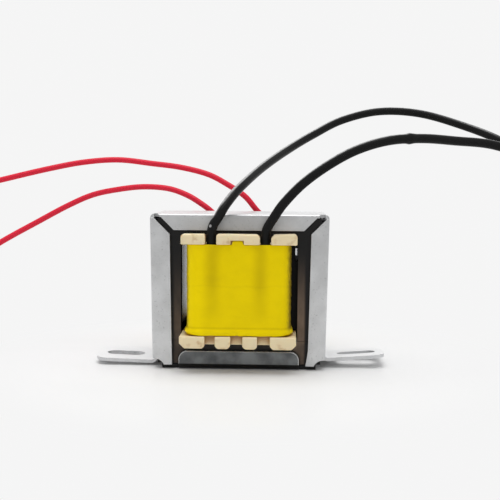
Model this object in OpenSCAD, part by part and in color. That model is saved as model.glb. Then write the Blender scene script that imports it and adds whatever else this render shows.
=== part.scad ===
// Chassis mount mains transformer: an interleaved EI core in a folded steel channel with two
// slotted feet, a closing base channel, a taped coil on a nylon bobbin and four flying leads.
// Millimetres. X runs along the feet, the secondary side faces -Y, and Z = 0 is the chassis.

/* [Core] */
// Width of one E lamination
core_w = 28; // [26:1:40]
// Height of an E and an I lamination together
core_h = 25; // [22:1:36]
// Width of the outer limbs and of both yokes
limb_w = 4; // [3.5:0.1:4.5]
// Width of the centre limb
centre_limb_w = 8; // [7:0.5:9]
// Number of layers in the stack
layer_count = 28; // [20:2:60]
// Thickness of one lamination
lamination_t = 0.48; // [0.35:0.01:0.6]
// Varnish film between two layers
varnish_t = 0.02; // [0.01:0.01:0.04]
// Butt gap between an E and its I
butt_gap = 0.06; // [0.02:0.01:0.1]

/* [Channel frame] */
// Thickness of the steel strip of the frame
frame_t = 0.6; // [0.5:0.1:1.0]
// Clearance from the core to each side wall at its foot
side_gap = 0.2; // [0.1:0.05:0.5]
// Outward lean of the side walls
wall_lean = 1; // [0:0.1:1.5]
// Clearance from the core to the top web
top_gap = 0.15; // [0.05:0.05:0.3]
// Clearance from the core to the frame's front and back lips
lip_gap = 0.2; // [0.1:0.05:0.4]
// Inside radius of the folds round the core
fold_r = 0.1; // [0.05:0.05:0.2]
// Outside radius of the sharp folds between the walls, the web and their lips
fold_out_r = 0.35; // [0.2:0.05:0.6]
// Width of the left wall's lips
left_lip_w = 3.35; // [2.4:0.05:3.6]
// Width of the right wall's lips
right_lip_w = 3; // [2.4:0.05:3.6]
// Extra width at the foot of the right wall's lips
right_lip_flare = 0.35; // [0:0.05:0.5]
// Width of the top lips
top_lip_w = 2.75; // [2:0.05:3]
// Width of the left mitre slots
left_mitre_w = 1; // [0.6:0.05:1.2]
// Width of the right mitre slots
right_mitre_w = 1.3; // [0.6:0.05:1.4]
// Radius of the relief at the lower corners of the walls
corner_relief_r = 1.8; // [1.2:0.05:2]

/* [Feet] */
// How far each foot reaches out from the foot of its wall
foot_l = 10.6; // [9:0.05:24]
// Depth of each foot, front to back
foot_depth = 10.2; // [8:0.2:11]
// Inside radius of the fold from the wall to the foot
foot_fold_r = 0.6; // [0.4:0.1:1]
// Radius of the corners at a foot's tip
foot_corner_r = 2.2; // [0.5:0.1:2.5]
// Distance from a wall to the centre of its foot's fixing slot
slot_out = 5.9; // [5.2:0.05:6.5]
// Width of a fixing slot
slot_w = 3.4; // [2.2:0.1:3.6]
// Length of a fixing slot over its round ends
slot_l = 6.8; // [5:0.1:7]
// Height of the feet above the chassis, until screws pull them down
foot_rise = 0.4; // [0.1:0.05:0.6]
// Upward lean of the left foot
left_foot_lean = 1.7; // [0:0.1:4]
// Upward lean of the right foot
right_foot_lean = 4.2; // [0:0.1:6]
// Twist that lifts the right foot's front edge
right_foot_twist = 4.2; // [0:0.1:6]

/* [Base channel] */
// Thickness of the steel strip of the base
base_t = 0.8; // [0.4:0.1:1.0]
// Clearance from the base to the core's underside
base_gap = 0.12; // [0.05:0.01:0.3]
// Height of the base's lips above the chassis
base_lip_h = 3.2; // [2.6:0.05:3.6]
// Length of the base's lips
base_lip_l = 20.6; // [16:0.2:21]
// Radius of the base lips' upper corners
base_corner_r = 1.5; // [0.5:0.1:1.6]
// Outside radius of the base's coined folds
base_out_r = 1.1; // [0.8:0.1:1.2]
// Clearance from the core to the base's lips
base_lip_gap = 0.15; // [0.05:0.05:0.3]
// Clearance from the base's ends to the side walls
base_end_gap = 0.95; // [0.1:0.05:1.5]

/* [Bobbin] */
// Clearance from the bobbin's flanges to the outer limbs
flange_side_gap = 0.22; // [0.1:0.02:0.4]
// Thickness of the upper flange inside the window
flange_t = 0.5; // [0.45:0.05:0.8]
// Height from the coil's end to the far side of the castellated blocks
block_t = 2.2; // [1.8:0.05:2.4]
// How far the blocks stand out past the tape
block_proud = 0.4; // [0.1:0.05:1]
// Thickness of the lower flange inside the window
lower_flange_t = 1.6; // [0.5:0.1:2]
// Wall of the bobbin's tube
tube_t = 0.7; // [0.5:0.05:1]
// Clearance from the tube to the centre limb
tube_gap = 0.1; // [0.05:0.05:0.15]
// Clearance from the upper flange to the top yoke
flange_gap = 0.05; // [0.03:0.01:0.1]
// Clearance from the core's faces to the blocks
block_gap = 0.2; // [0.1:0.05:0.4]
// Spacing of the three notches along a block
notch_pitch = 4.5; // [4:0.1:4.8]
// Width of a notch that a lead comes out of
lead_notch_w = 1.9; // [1.75:0.05:2.2]
// Width of the open notches in the lower blocks
open_notch_w = 2; // [1.6:0.1:2.4]
// Depth of the open notches in the lower blocks
open_notch_d = 2.2; // [1.6:0.1:3]

/* [Coil] */
// Clearance from the coil's sides to the outer limbs
coil_gap = 1.2; // [0.5:0.1:1.8]
// Part of the window's winding space that the primary fills
primary_share = 0.54; // [0.4:0.02:0.6]
// Thickness of the insulation between the windings
inner_tape_t = 0.15; // [0.05:0.05:0.2]
// Thickness of the outer tape
outer_tape_t = 0.2; // [0.1:0.05:0.25]
// Build of the secondary under its joints, at the front and back
splice_bed = 0.2; // [0.15:0.05:0.6]
// Corner radius of the tape's outside
coil_corner_r = 1.8; // [1:0.1:2.2]
// How far the outer tape laps over the upper flange's edge
tape_lap = 0.45; // [0.2:0.05:0.45]
// Clearance round the fibre wedge between the coil and the right limb
wedge_gap = 0.05; // [0.02:0.01:0.1]
// Depth of the wedge, front to back
wedge_d = 12; // [6:0.5:14]

/* [Leads] */
// Diameter of a black secondary lead
black_d = 1.6; // [1.2:0.1:1.6]
// Diameter of a red primary lead
red_d = 1.1; // [0.8:0.1:1.4]
// Length of the sleeved joint under the tape
splice_l = 7; // [4:0.5:10]
// Length of the stripped and tinned end of a lead
tip_l = 6; // [3:0.5:10]
// Part of a lead's diameter that the tinned strands fill
tip_ratio = 0.55; // [0.4:0.05:0.7]

/* [Hidden] */

$fn = 48;
eps = 0.01;

// Core
layer_pitch = lamination_t + varnish_t;
core_d = layer_count * layer_pitch - varnish_t;
core_z = base_t + base_gap;
window_z0 = core_z + limb_w;
window_z1 = core_z + core_h - limb_w;
window_w = (core_w - centre_limb_w) / 2 - limb_w;
e_h = core_h - limb_w;

// Channel frame
half_w = core_w / 2 + side_gap + frame_t;
frame_d = core_d + 2 * (lip_gap + frame_t);
frame_h = core_z + core_h + top_gap + frame_t;
fold_out = fold_r + frame_t;
fold_z = frame_h - fold_out;
wall_h = (fold_z - fold_out * sin(wall_lean)) / cos(wall_lean);
fold_x = half_w - fold_out * cos(wall_lean) + wall_h * sin(wall_lean);
half_top_w = half_w + frame_h * tan(wall_lean);
lip_z = 0.7;
flare_h = 2.6;
top_lip_z = frame_h - top_lip_w;
mitre_x = 1.05;
mitre_z = 0.4;
mitre_deep = 2;

// Feet
foot_out = foot_fold_r + frame_t;
foot_span = 2 * (half_w + foot_l);
slot_pitch = 2 * (half_w + slot_out);
relief_w = 0.5;
relief_z = 2.6;
foot_cut_z = 8;
foot_far = 2 * foot_l;

// Base channel
base_d = core_d + 2 * (base_lip_gap + base_t);
base_w = 2 * (half_w - frame_t - base_end_gap);
base_in_r = base_lip_gap;

// Bobbin
flange_w = core_w - 2 * (limb_w + flange_side_gap);
upper_flange_z = window_z1 - flange_gap - flange_t;
winding_z = window_z0 + flange_gap + lower_flange_t;
winding_h = upper_flange_z - winding_z;
tube_w = centre_limb_w + 2 * (tube_gap + tube_t);
tube_d = core_d + 2 * (tube_gap + tube_t);
block_y0 = core_d / 2 + block_gap;
upper_corner_r = 0.4;
lower_corner_r = 1.1;
notch_web = 1.65;
notch_flare = 0.35;
recess_w = 2.2;
recess_h = 0.7;
recess_d = 0.6;

// Coil, from the tube outwards
splice_gap = 0.05;
side_build = window_w - coil_gap - tube_gap - tube_t - inner_tape_t - outer_tape_t;
primary_build = side_build * primary_share;
secondary_build = side_build - primary_build;
front_build = splice_bed + 2 * splice_gap + black_d;
primary_w = tube_w + 2 * primary_build;
primary_d = tube_d + 2 * primary_build;
wrap_w = primary_w + 2 * inner_tape_t;
wrap_d = primary_d + 2 * inner_tape_t;
secondary_w = wrap_w + 2 * secondary_build;
secondary_d = wrap_d + 2 * front_build;
tape_w = secondary_w + 2 * outer_tape_t;
tape_d = secondary_d + 2 * outer_tape_t;
primary_r = 1;
wrap_r = primary_r + inner_tape_t;
secondary_r = coil_corner_r - outer_tape_t;
coil_inset = 0.05;
coil_h = winding_h - 2 * coil_inset;
plate_reach = secondary_d / 2 - coil_inset;
plate_front_w = tape_w - 1;
block_y1 = tape_d / 2 + block_proud;
lead_notch_y = secondary_d / 2 - 2 * splice_gap - black_d;

// Wedge
wedge_x0 = tape_w / 2 + wedge_gap;
wedge_x1 = core_w / 2 - limb_w - wedge_gap;
wedge_h = winding_h - 4 * wedge_gap;
chink_w = 0.35;
chink_h = 2.2;
chink_top = 0.4;

// Leads
black_splice_y = -(secondary_d / 2 - splice_gap - black_d / 2);
red_splice_y = secondary_d / 2 - splice_gap - red_d / 2;
lead_z = winding_z + winding_h + splice_gap;
rest_z = 2;

// Routes of the leads, from the bobbin's notch to the stripped end
black_left_route = [
  [-4.5, -10.96, 21.42], [-4.5, -11, 23.4], [-4.2, -11.2, 24.9], [-3.3, -10.8, 26.4],
  [-2.1, -9.3, 28.5], [0, -5.1, 31.2], [3.8, 4.4, 34.9], [8.7, 14.4, 38.6], [13.6, 20.9, 41.7],
  [19.4, 25.7, 44.8], [27, 28.4, 46.8], [35, 27.9, 46.5], [42.5, 23.9, 44.1], [50, 16.9, 40.2],
  [57, 11.9, 34.4], [63, 9.4, 27.3], [68, 8.4, 19.3], [72, 8.5, 10.6], [76, 8.5, 4], [81, 9, 0.8],
  [87, 9.5, 0.8]
];
black_right_route = [
  [4.5, -10.96, 21.42], [4.5, -11, 23.4], [4.9, -11.5, 24.8], [6, -12, 26.6], [7.6, -12.4, 28.9],
  [10.6, -12.3, 32], [14.7, -11.7, 35], [19.3, -11.1, 37.5], [24.6, -10.1, 39.1],
  [30.5, -7.3, 39.6], [36.6, -3.9, 39.4], [43.6, -1.1, 38.9], [50, -0.1, 36.9], [56, -1.1, 32.8],
  [61, -3.1, 26.9], [65, -5.1, 19.7], [68, -6.5, 11.8], [71, -8, 4.8], [75.5, -9.5, 0.8],
  [82, -11, 0.8], [89, -12, 0.8]
];
red_left_route = [
  [-4.5, 11.21, 21.42], [-4.5, 11.2, 23.3], [-5, 11.1, 25.1], [-6.3, 10.9, 26.5],
  [-8.2, 11.2, 27.9], [-11, 11.8, 29.5], [-14.7, 12.6, 30.7], [-19.5, 13.6, 31],
  [-24.3, 14.1, 30.5], [-29.5, 14.1, 29.4], [-34.3, 13.5, 27.3], [-40.3, 12.6, 24],
  [-46.9, 11.1, 20.2], [-53.5, 8.6, 15.7], [-59.5, 5.5, 10.7], [-65, 2.5, 5.9],
  [-70.5, -0.5, 2.2], [-76.5, -3, 0.6], [-83, -5, 0.6], [-90, -6.5, 0.6]
];
red_right_route = [
  [4.5, 11.21, 21.42], [4.5, 11.2, 23.3], [3.8, 11.1, 25.2], [2.3, 10.8, 26.9], [0.1, 11.4, 29.4],
  [-3.3, 12.4, 31.6], [-7.1, 13.1, 33.5], [-12.4, 13.9, 34.8], [-18, 14.5, 35.5],
  [-24.8, 15.1, 36.2], [-31.4, 14.6, 35.7], [-38, 13.7, 34.4], [-46, 12.3, 32.4],
  [-54, 12.1, 30.3], [-61.5, 13.1, 26.3], [-67.5, 15.1, 20.3], [-72, 17.6, 13.2], [-76, 20, 6.3],
  [-80.5, 22, 1.6], [-86, 23.5, 0.6], [-92, 24.5, 0.6]
];

// ---- helpers -------------------------------------------------------------------------------

// Rectangle with round corners, centred on the origin
module round_rect(w, d, r) {
  square([w, d - 2 * r], center = true);
  square([w - 2 * r, d], center = true);
  for (x = [-1, 1], y = [-1, 1])
    translate([x * (w / 2 - r), y * (d / 2 - r)]) circle(r);
}

// Quarter of a disc with its centre on the origin, in the quadrant towards +X and +Y
module quarter_disc(r) {
  intersection() {
    circle(r);
    square(r);
  }
}

// Stands a drawing made in X and Z up, and runs it along Y by d, centred
module along_y(d) {
  translate([0, d / 2, 0]) rotate([90, 0, 0]) linear_extrude(d) children();
}

// Closed ring of the coil round the child drawing, up to the outer size
module coil_ring(w, d, r) {
  translate([0, 0, winding_z + coil_inset])
    linear_extrude(coil_h)
      difference() {
        round_rect(w, d, r);
        children();
      }
}

// ---- core ----------------------------------------------------------------------------------

// Outline of an E in X and Z, with its back on Z = 0 and its legs up
module e_outline() {
  difference() {
    translate([-core_w / 2, 0]) square([core_w, e_h]);
    for (s = [-1, 1])
      translate([s * (centre_limb_w + window_w) / 2 - window_w / 2, limb_w])
        square([window_w, e_h]);
  }
}

// Outline of an I in X and Z, on Z = 0
module i_outline() {
  translate([-core_w / 2, 0]) square([core_w, limb_w - butt_gap]);
}

// Puts copies of a lamination into the stack's layers, counted from the front
module in_layers(first, last) {
  for (k = [first : 2 : last])
    translate([0, (k + 0.5) * layer_pitch - (core_d + varnish_t) / 2, 0])
      along_y(lamination_t) children();
}

module e_legs_down(first, last) {
  in_layers(first, last) translate([0, core_z + core_h]) mirror([0, 1]) e_outline();
}

module i_bottom(first, last) {
  in_layers(first, last) translate([0, core_z]) i_outline();
}

module e_legs_up(first, last) {
  in_layers(first, last) translate([0, core_z]) e_outline();
}

module i_top(first, last) {
  in_layers(first, last) translate([0, window_z1 + butt_gap]) i_outline();
}

module front_e_lamination() { color("dimgray") e_legs_down(0, 0); }
module front_i_lamination() { color("dimgray") i_bottom(0, 0); }
module back_e_lamination() { color("dimgray") e_legs_up(layer_count - 1, layer_count - 1); }
module back_i_lamination() { color("dimgray") i_top(layer_count - 1, layer_count - 1); }
module inner_e_legs_down() { color("gray") e_legs_down(2, layer_count - 2); }
module inner_i_bottom() { color("gray") i_bottom(2, layer_count - 2); }
module inner_e_legs_up() { color("gray") e_legs_up(1, layer_count - 3); }
module inner_i_top() { color("gray") i_top(1, layer_count - 3); }

// ---- channel frame -------------------------------------------------------------------------

// Part of a ring of inside radius r and thickness t, from angle a0 to a1
module ring_sector(r, t, a0, a1) {
  far = 3 * (r + t);
  mid = (a0 + a1) / 2;
  intersection() {
    difference() {
      circle(r + t);
      circle(r);
    }
    polygon([
      [0, 0], far * [cos(a0), sin(a0)], far * [cos(mid), sin(mid)], far * [cos(a1), sin(a1)]
    ]);
  }
}

// Turns what is drawn for an upright wall at -X out about the foot of the wall's outer face
module leaning() {
  translate([-half_w, 0, 0]) rotate([0, -wall_lean, 0]) translate([half_w, 0, 0]) children();
}

// Sharp fold of the sheet, in the quadrant towards +X and +Y of its inner centre
module sharp_fold() {
  flat = fold_out - fold_out_r;
  difference() {
    union() {
      square([fold_out, flat]);
      square([flat, fold_out]);
      translate([flat, flat]) quarter_disc(fold_out_r);
    }
    circle(fold_r);
  }
}

// Section of one side wall in X and Y with its two folds and lips, for the wall at -X
module wall_section(lip_w) {
  flat = frame_d - 2 * fold_out;
  translate([-half_w, -flat / 2]) square([frame_t, flat]);
  for (s = [-1, 1])
    scale([1, s]) {
      translate([fold_out - half_w, flat / 2]) mirror([1, 0]) sharp_fold();
      translate([fold_out - half_w - eps, frame_d / 2 - frame_t])
        square([lip_w - fold_out + eps, frame_t]);
    }
}

// Section of the top web in Y and Z with its two folds and lips
module top_section() {
  flat = frame_d - 2 * fold_out;
  translate([-flat / 2, frame_h - frame_t]) square([flat, frame_t]);
  for (s = [-1, 1])
    scale([s, 1]) {
      translate([flat / 2, fold_z]) sharp_fold();
      translate([frame_d / 2 - frame_t, top_lip_z])
        square([frame_t, fold_z - top_lip_z + eps]);
    }
}

// Side wall at -X with its lips, which flare at their foot
module side_wall(lip_w, flare) {
  inner_x = lip_w - half_w;
  leaning()
    intersection() {
      translate([0, 0, lip_z]) linear_extrude(wall_h + eps - lip_z) wall_section(lip_w + flare);
      along_y(frame_d + 1)
        polygon([
          [-2 * half_w, -1], [inner_x + flare, -1], [inner_x + flare, lip_z],
          [inner_x, lip_z + flare_h], [inner_x, frame_h], [-2 * half_w, frame_h]
        ]);
    }
}

// Everything that is cut out of the frame's folded corners on the side at -X
module corner_cuts(mitre_w) {
  cut_d = frame_d / 2 + 1 - foot_depth / 2;
  for (s = [-1, 1])
    scale([1, s, 1]) {
      // mitre slot between the side lip and the top lip, with its round end in the corner
      translate([0, frame_d / 2, 0]) {
        along_y(2 * (fold_out + eps))
          translate([mitre_x - half_top_w, frame_h - mitre_z])
            rotate(-45) translate([0, -mitre_w / 2]) square([half_w, mitre_w]);
        along_y(2 * mitre_deep)
          translate([mitre_x - half_top_w, frame_h - mitre_z]) circle(mitre_w / 2);
      }
      // round relief at the foot of the lip and of the wall beside the foot
      translate([0, (foot_depth + cut_d) / 2, 0]) along_y(cut_d)
        translate([frame_t / 2 - half_w, 0]) circle(corner_relief_r);
      // slit that frees the foot from the wall
      translate([-half_w - 1, foot_depth / 2, 0]) {
        cube([frame_t + 2, relief_w, relief_z - relief_w / 2]);
        translate([0, relief_w / 2, relief_z - relief_w / 2])
          rotate([0, 90, 0]) cylinder(d = relief_w, h = frame_t + 2);
      }
    }
}

// Height of a foot's fold centre up the wall, for a foot whose lowest point is at lift
function foot_pivot(lift) =
  ceil(1000 * (lift + foot_out + foot_fold_r * sin(wall_lean)) / cos(wall_lean)) / 1000;

// Section of a foot in X and Z for an upright wall at -X, with the fold's centre on Z = 0
module foot_section(lean) {
  turn = -wall_lean - lean;
  translate([-half_w, 0]) square([frame_t, relief_z + 1]);
  translate([-half_w - foot_fold_r, 0]) {
    ring_sector(foot_fold_r, frame_t, turn - 90, 0);
    rotate(turn) translate([-foot_far, -foot_out]) square([foot_far, frame_t]);
  }
}

// Outline of a foot in plan for the side at -X, with round corners at its tip
module foot_outline() {
  translate([-foot_span / 2 + foot_corner_r, -foot_depth / 2])
    square([foot_l + 2 * foot_corner_r, foot_depth]);
  translate([-foot_span / 2, -foot_depth / 2 + foot_corner_r])
    square([2 * foot_corner_r, foot_depth - 2 * foot_corner_r]);
  for (s = [-1, 1])
    translate([-foot_span / 2 + foot_corner_r, s * (foot_depth / 2 - foot_corner_r)])
      circle(foot_corner_r);
}

// Fixing slot in plan, on the side at -X
module slot_outline() {
  translate([-slot_pitch / 2, 0]) {
    square([slot_l - slot_w, slot_w], center = true);
    for (s = [-1, 1])
      translate([s * (slot_l - slot_w) / 2, 0]) circle(slot_w / 2);
  }
}

// Foot on the side at -X; twist turns it in the wall's plane and lifts its front edge, so
// that its back edge is the lowest
module foot(lean, twist) {
  lift = foot_rise + foot_depth / 2 * tan(twist) + foot_out * (1 / cos(twist) - 1);
  difference() {
    intersection() {
      leaning()
        translate([0, 0, foot_pivot(lift)]) rotate([-twist, 0, 0])
          along_y(foot_depth + 2) foot_section(lean);
      translate([0, 0, -1])
        linear_extrude(foot_cut_z)
          difference() {
            foot_outline();
            slot_outline();
          }
    }
    translate([-half_w - 1, -foot_depth, relief_z + eps])
      cube([frame_t + 2, 2 * foot_depth, foot_cut_z]);
  }
}

// One side of the frame, for the wall at -X
module frame_side(lip_w, flare, mitre_w, lean, twist) {
  difference() {
    side_wall(lip_w, flare);
    corner_cuts(mitre_w);
    // the foot's strip takes over from the wall below the relief
    translate([-half_w - 1, -foot_depth / 2, -1])
      cube([frame_t + 2, foot_depth, relief_z + 1]);
  }
  foot(lean, twist);
}

module channel_frame() {
  color("silver") {
    frame_side(left_lip_w, 0, left_mitre_w, left_foot_lean, 0);
    mirror([1, 0, 0])
      frame_side(right_lip_w, right_lip_flare, right_mitre_w, right_foot_lean, right_foot_twist);
    difference() {
      translate([-fold_x - eps, 0, 0])
        rotate([90, 0, 90]) linear_extrude(2 * (fold_x + eps)) top_section();
      corner_cuts(left_mitre_w);
      mirror([1, 0, 0]) corner_cuts(right_mitre_w);
    }
    for (s = [-1, 1])
      scale([s, 1, 1])
        along_y(frame_d - 2 * fold_out)
          translate([fold_x, fold_z]) ring_sector(fold_r, frame_t, -wall_lean, 90);
  }
}

// ---- base channel --------------------------------------------------------------------------

// Channel drawn in Y and Z, open upwards, with round lower corners
module base_profile(w, z0, r) {
  translate([-w / 2, z0 + r]) square([w, base_lip_h]);
  translate([r - w / 2, z0]) square([w - 2 * r, base_lip_h]);
  for (s = [-1, 1])
    translate([s * (w / 2 - r), z0 + r]) circle(r);
}

// Section of the base in Y and Z at its lips
module base_section() {
  difference() {
    base_profile(base_d, 0, base_out_r);
    base_profile(base_d - 2 * base_t, base_t, base_in_r);
  }
}

// Face of a base lip in X and Z, with round upper corners
module base_lip_face() {
  translate([-base_lip_l / 2, -1]) square([base_lip_l, base_lip_h + 1 - base_corner_r]);
  translate([base_corner_r - base_lip_l / 2, -1])
    square([base_lip_l - 2 * base_corner_r, base_lip_h + 1]);
  for (s = [-1, 1])
    translate([s * (base_lip_l / 2 - base_corner_r), base_lip_h - base_corner_r])
      circle(base_corner_r);
}

module base_channel() {
  color("gray") {
    intersection() {
      translate([-base_lip_l / 2, 0, 0])
        rotate([90, 0, 90]) linear_extrude(base_lip_l) base_section();
      along_y(base_d + 1) base_lip_face();
    }
    translate([-base_w / 2, -(base_d / 2 - base_out_r), 0])
      cube([base_w, base_d - 2 * base_out_r, base_t]);
  }
}

// ---- bobbin --------------------------------------------------------------------------------

// Front face of a row of blocks in X and Z, from z0 up, with its far corners rounded
module block_face(z0, r) {
  square_w = flange_w - 2 * r;
  translate([-flange_w / 2, z0]) square([flange_w, block_t - r - z0]);
  translate([-square_w / 2, z0]) square([square_w, block_t - z0]);
  for (s = [-1, 1])
    translate([s * square_w / 2, block_t - r]) circle(r);
}

// Rows of blocks at both ends of a flange, growing upwards from z0, from y0 outwards
module block_rows(y0, z0, r) {
  for (s = [-1, 1])
    translate([0, s * (y0 + block_y1) / 2, 0])
      along_y(block_y1 - y0) block_face(z0, r);
}

// Plate of a flange; z = 0 is its face on the coil
module flange_plate(w, reach, t) {
  translate([-w / 2, -reach, 0]) cube([w, 2 * reach, t]);
}

// Notches of the upper flange: two for leads at each end, and a shallow one between them
module lead_notches() {
  for (a = [0, 180])
    rotate([0, 0, a]) {
      for (s = [-1, 1])
        translate([s * notch_pitch - lead_notch_w / 2, -block_y1 - 1, -1])
          cube([lead_notch_w, block_y1 - lead_notch_y + 1, block_t + 2]);
      translate([-recess_w / 2, -block_y1 - 1, -1])
        cube([recess_w, recess_d + 1, tape_lap + recess_h + 1]);
    }
}

// Open notches of the lower flange at both ends, which leave a web over the coil
module open_notches() {
  half_w = open_notch_w / 2;
  for (a = [0, 180], k = [-1, 0, 1])
    rotate([0, 0, a])
      translate([k * notch_pitch, -block_y1, 0])
        along_y(2 * open_notch_d)
          polygon([
            [-half_w, notch_web], [half_w, notch_web], [half_w, block_t - notch_flare],
            [half_w + notch_flare, block_t], [half_w + notch_flare, block_t + 1],
            [-half_w - notch_flare, block_t + 1], [-half_w - notch_flare, block_t],
            [-half_w, block_t - notch_flare]
          ]);
}

// Hole for the centre limb
module limb_hole() {
  translate([0, 0, core_z + core_h / 2])
    cube([centre_limb_w + 2 * tube_gap, core_d + 2 * tube_gap, core_h], center = true);
}

module bobbin() {
  color("wheat")
    difference() {
      union() {
        translate([-tube_w / 2, -tube_d / 2, winding_z - eps])
          cube([tube_w, tube_d, winding_h + 2 * eps]);
        translate([0, 0, upper_flange_z])
          difference() {
            union() {
              flange_plate(flange_w, block_y0, flange_t);
              flange_plate(plate_front_w, plate_reach, flange_t);
              block_rows(lead_notch_y, tape_lap, upper_corner_r);
            }
            lead_notches();
          }
        translate([0, 0, winding_z]) mirror([0, 0, 1])
          difference() {
            union() {
              flange_plate(flange_w, block_y0 + eps, lower_flange_t);
              block_rows(block_y0, 0, lower_corner_r);
            }
            open_notches();
          }
      }
      limb_hole();
    }
}

// ---- coil ----------------------------------------------------------------------------------

module primary_winding() {
  color("chocolate")
    coil_ring(primary_w, primary_d, primary_r) square([tube_w, tube_d], center = true);
}

module primary_wrap() {
  color("gold") coil_ring(wrap_w, wrap_d, wrap_r) round_rect(primary_w, primary_d, primary_r);
}

// Pocket for one sleeved joint, from the top of the winding space down
module splice_pocket(x, y, d) {
  translate([x, y, winding_z + winding_h - splice_l - 2 * splice_gap])
    cylinder(d = d + 2 * splice_gap, h = splice_l + 2);
}

module secondary_winding() {
  color("chocolate")
    difference() {
      coil_ring(secondary_w, secondary_d, secondary_r) round_rect(wrap_w, wrap_d, wrap_r);
      for (s = [-1, 1]) {
        splice_pocket(s * notch_pitch, black_splice_y, black_d);
        splice_pocket(s * notch_pitch, red_splice_y, red_d);
      }
    }
}

// Sleeve of tape round the coil, which laps over the upper flange's front and back edges
module outer_tape() {
  lap_z = winding_z + coil_inset;
  color("gold")
    difference() {
      translate([0, 0, lap_z])
        linear_extrude(coil_h + tape_lap) round_rect(tape_w, tape_d, coil_corner_r);
      translate([0, 0, lap_z - 1])
        linear_extrude(coil_h + tape_lap + 2) round_rect(secondary_w, secondary_d, secondary_r);
      translate([0, 0, upper_flange_z - coil_inset])
        flange_plate(flange_w, plate_reach + coil_inset, block_t);
    }
}

// Strip of black fibre that wedges the coil against the right limb, with a chipped top corner
module coil_wedge() {
  color("black")
    translate([0, 0, winding_z + 2 * wedge_gap])
      difference() {
        translate([wedge_x0, -wedge_d / 2, 0]) cube([wedge_x1 - wedge_x0, wedge_d, wedge_h]);
        translate([wedge_x1 - chink_w, -wedge_d, wedge_h - chink_top - chink_h])
          cube([2 * chink_w, 2 * wedge_d, chink_h]);
      }
}

module splices(y, d, tint) {
  color(tint)
    for (s = [-1, 1])
      translate([s * notch_pitch, y, winding_z + winding_h - splice_l - splice_gap])
        cylinder(d = d, h = splice_l);
}

module secondary_splices() { splices(black_splice_y, black_d, "black"); }
module primary_splices() { splices(red_splice_y, red_d, "red"); }

// ---- leads ---------------------------------------------------------------------------------

ring_sides = 8;

// Route whose high part moves with the notch that it starts in; what lies on the chassis stays
function carried(route, notch) =
  [for (p = route)
    p + (notch - route[0]) * min(1, max(0, (p[2] - rest_z) / (route[0][2] - rest_z)))];

// Where a lead starts: in the notch on side s, above its joint
function black_notch(s) = [s * notch_pitch, black_splice_y, lead_z];
function red_notch(s) = [s * notch_pitch, red_splice_y, lead_z];

black_left = carried(black_left_route, black_notch(-1));
black_right = carried(black_right_route, black_notch(1));
red_left = carried(red_left_route, red_notch(-1));
red_right = carried(red_right_route, red_notch(1));

function unit(v) = v / norm(v);

// Direction of a route at its point k
function heading(route, k) =
  unit(route[min(k + 1, len(route) - 1)] - route[max(k - 1, 0)]);

// Ring of points round a route's point k, square to its direction
function lead_ring(route, k, r) =
  let (t = heading(route, k), u = unit(cross([0, 1, 0], t)), v = cross(t, u))
    [for (i = [0 : ring_sides - 1])
      route[k] + r * (cos(i * 360 / ring_sides) * u + sin(i * 360 / ring_sides) * v)];

// Tube of diameter d swept along a route
module lead(route, d) {
  last = len(route) - 1;
  rings = [for (k = [0 : last]) each lead_ring(route, k, d / 2)];
  sides = [
    for (k = [0 : last - 1], i = [0 : ring_sides - 1])
      let (j = (i + 1) % ring_sides, a = k * ring_sides, b = a + ring_sides)
        [a + i, b + i, b + j, a + j]
  ];
  start_cap = [for (i = [0 : ring_sides - 1]) i];
  end_cap = [for (i = [ring_sides - 1 : -1 : 0]) last * ring_sides + i];
  polyhedron(points = rings, faces = concat(sides, [start_cap, end_cap]), convexity = 10);
}

// Tinned strands that stand out of a lead's far end, in line with it
module tip(route, d) {
  last = len(route) - 1;
  run = route[last] - route[last - 1];
  translate(route[last] + 0.02 * unit(run))
    rotate([0, 90, atan2(run[1], run[0])])
      cylinder(d = d * tip_ratio, h = tip_l);
}

module black_lead_left() { color("black") lead(black_left, black_d); }
module black_lead_right() { color("black") lead(black_right, black_d); }
module red_lead_left() { color("red") lead(red_left, red_d); }
module red_lead_right() { color("red") lead(red_right, red_d); }
module black_tip_left() { color("silver") tip(black_left, black_d); }
module black_tip_right() { color("silver") tip(black_right, black_d); }
module red_tip_left() { color("silver") tip(red_left, red_d); }
module red_tip_right() { color("silver") tip(red_right, red_d); }

// ---- parts ---------------------------------------------------------------------------------

channel_frame();
base_channel();
front_e_lamination();
front_i_lamination();
back_e_lamination();
back_i_lamination();
inner_e_legs_down();
inner_i_bottom();
inner_e_legs_up();
inner_i_top();
bobbin();
primary_winding();
primary_wrap();
secondary_winding();
outer_tape();
coil_wedge();
secondary_splices();
primary_splices();
black_lead_left();
black_lead_right();
red_lead_left();
red_lead_right();
black_tip_left();
black_tip_right();
red_tip_left();
red_tip_right();
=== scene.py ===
"""Studio scene of a small chassis mount transformer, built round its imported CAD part.

The CAD nodes carry the sheet metal and the core. The bobbin, the tape, the leads and their
tinned ends are built here as finer pieces and stand for their CAD nodes. Lengths in the
dataclasses are in millimetres in the CAD frame, those of the stage are in metres, and
meshes are written in metres.
"""

import logging
import math
from dataclasses import dataclass
from enum import Enum
from typing import Any, Iterable, Sequence

import bmesh
import bpy
from mathutils import Matrix, Vector, noise


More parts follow.
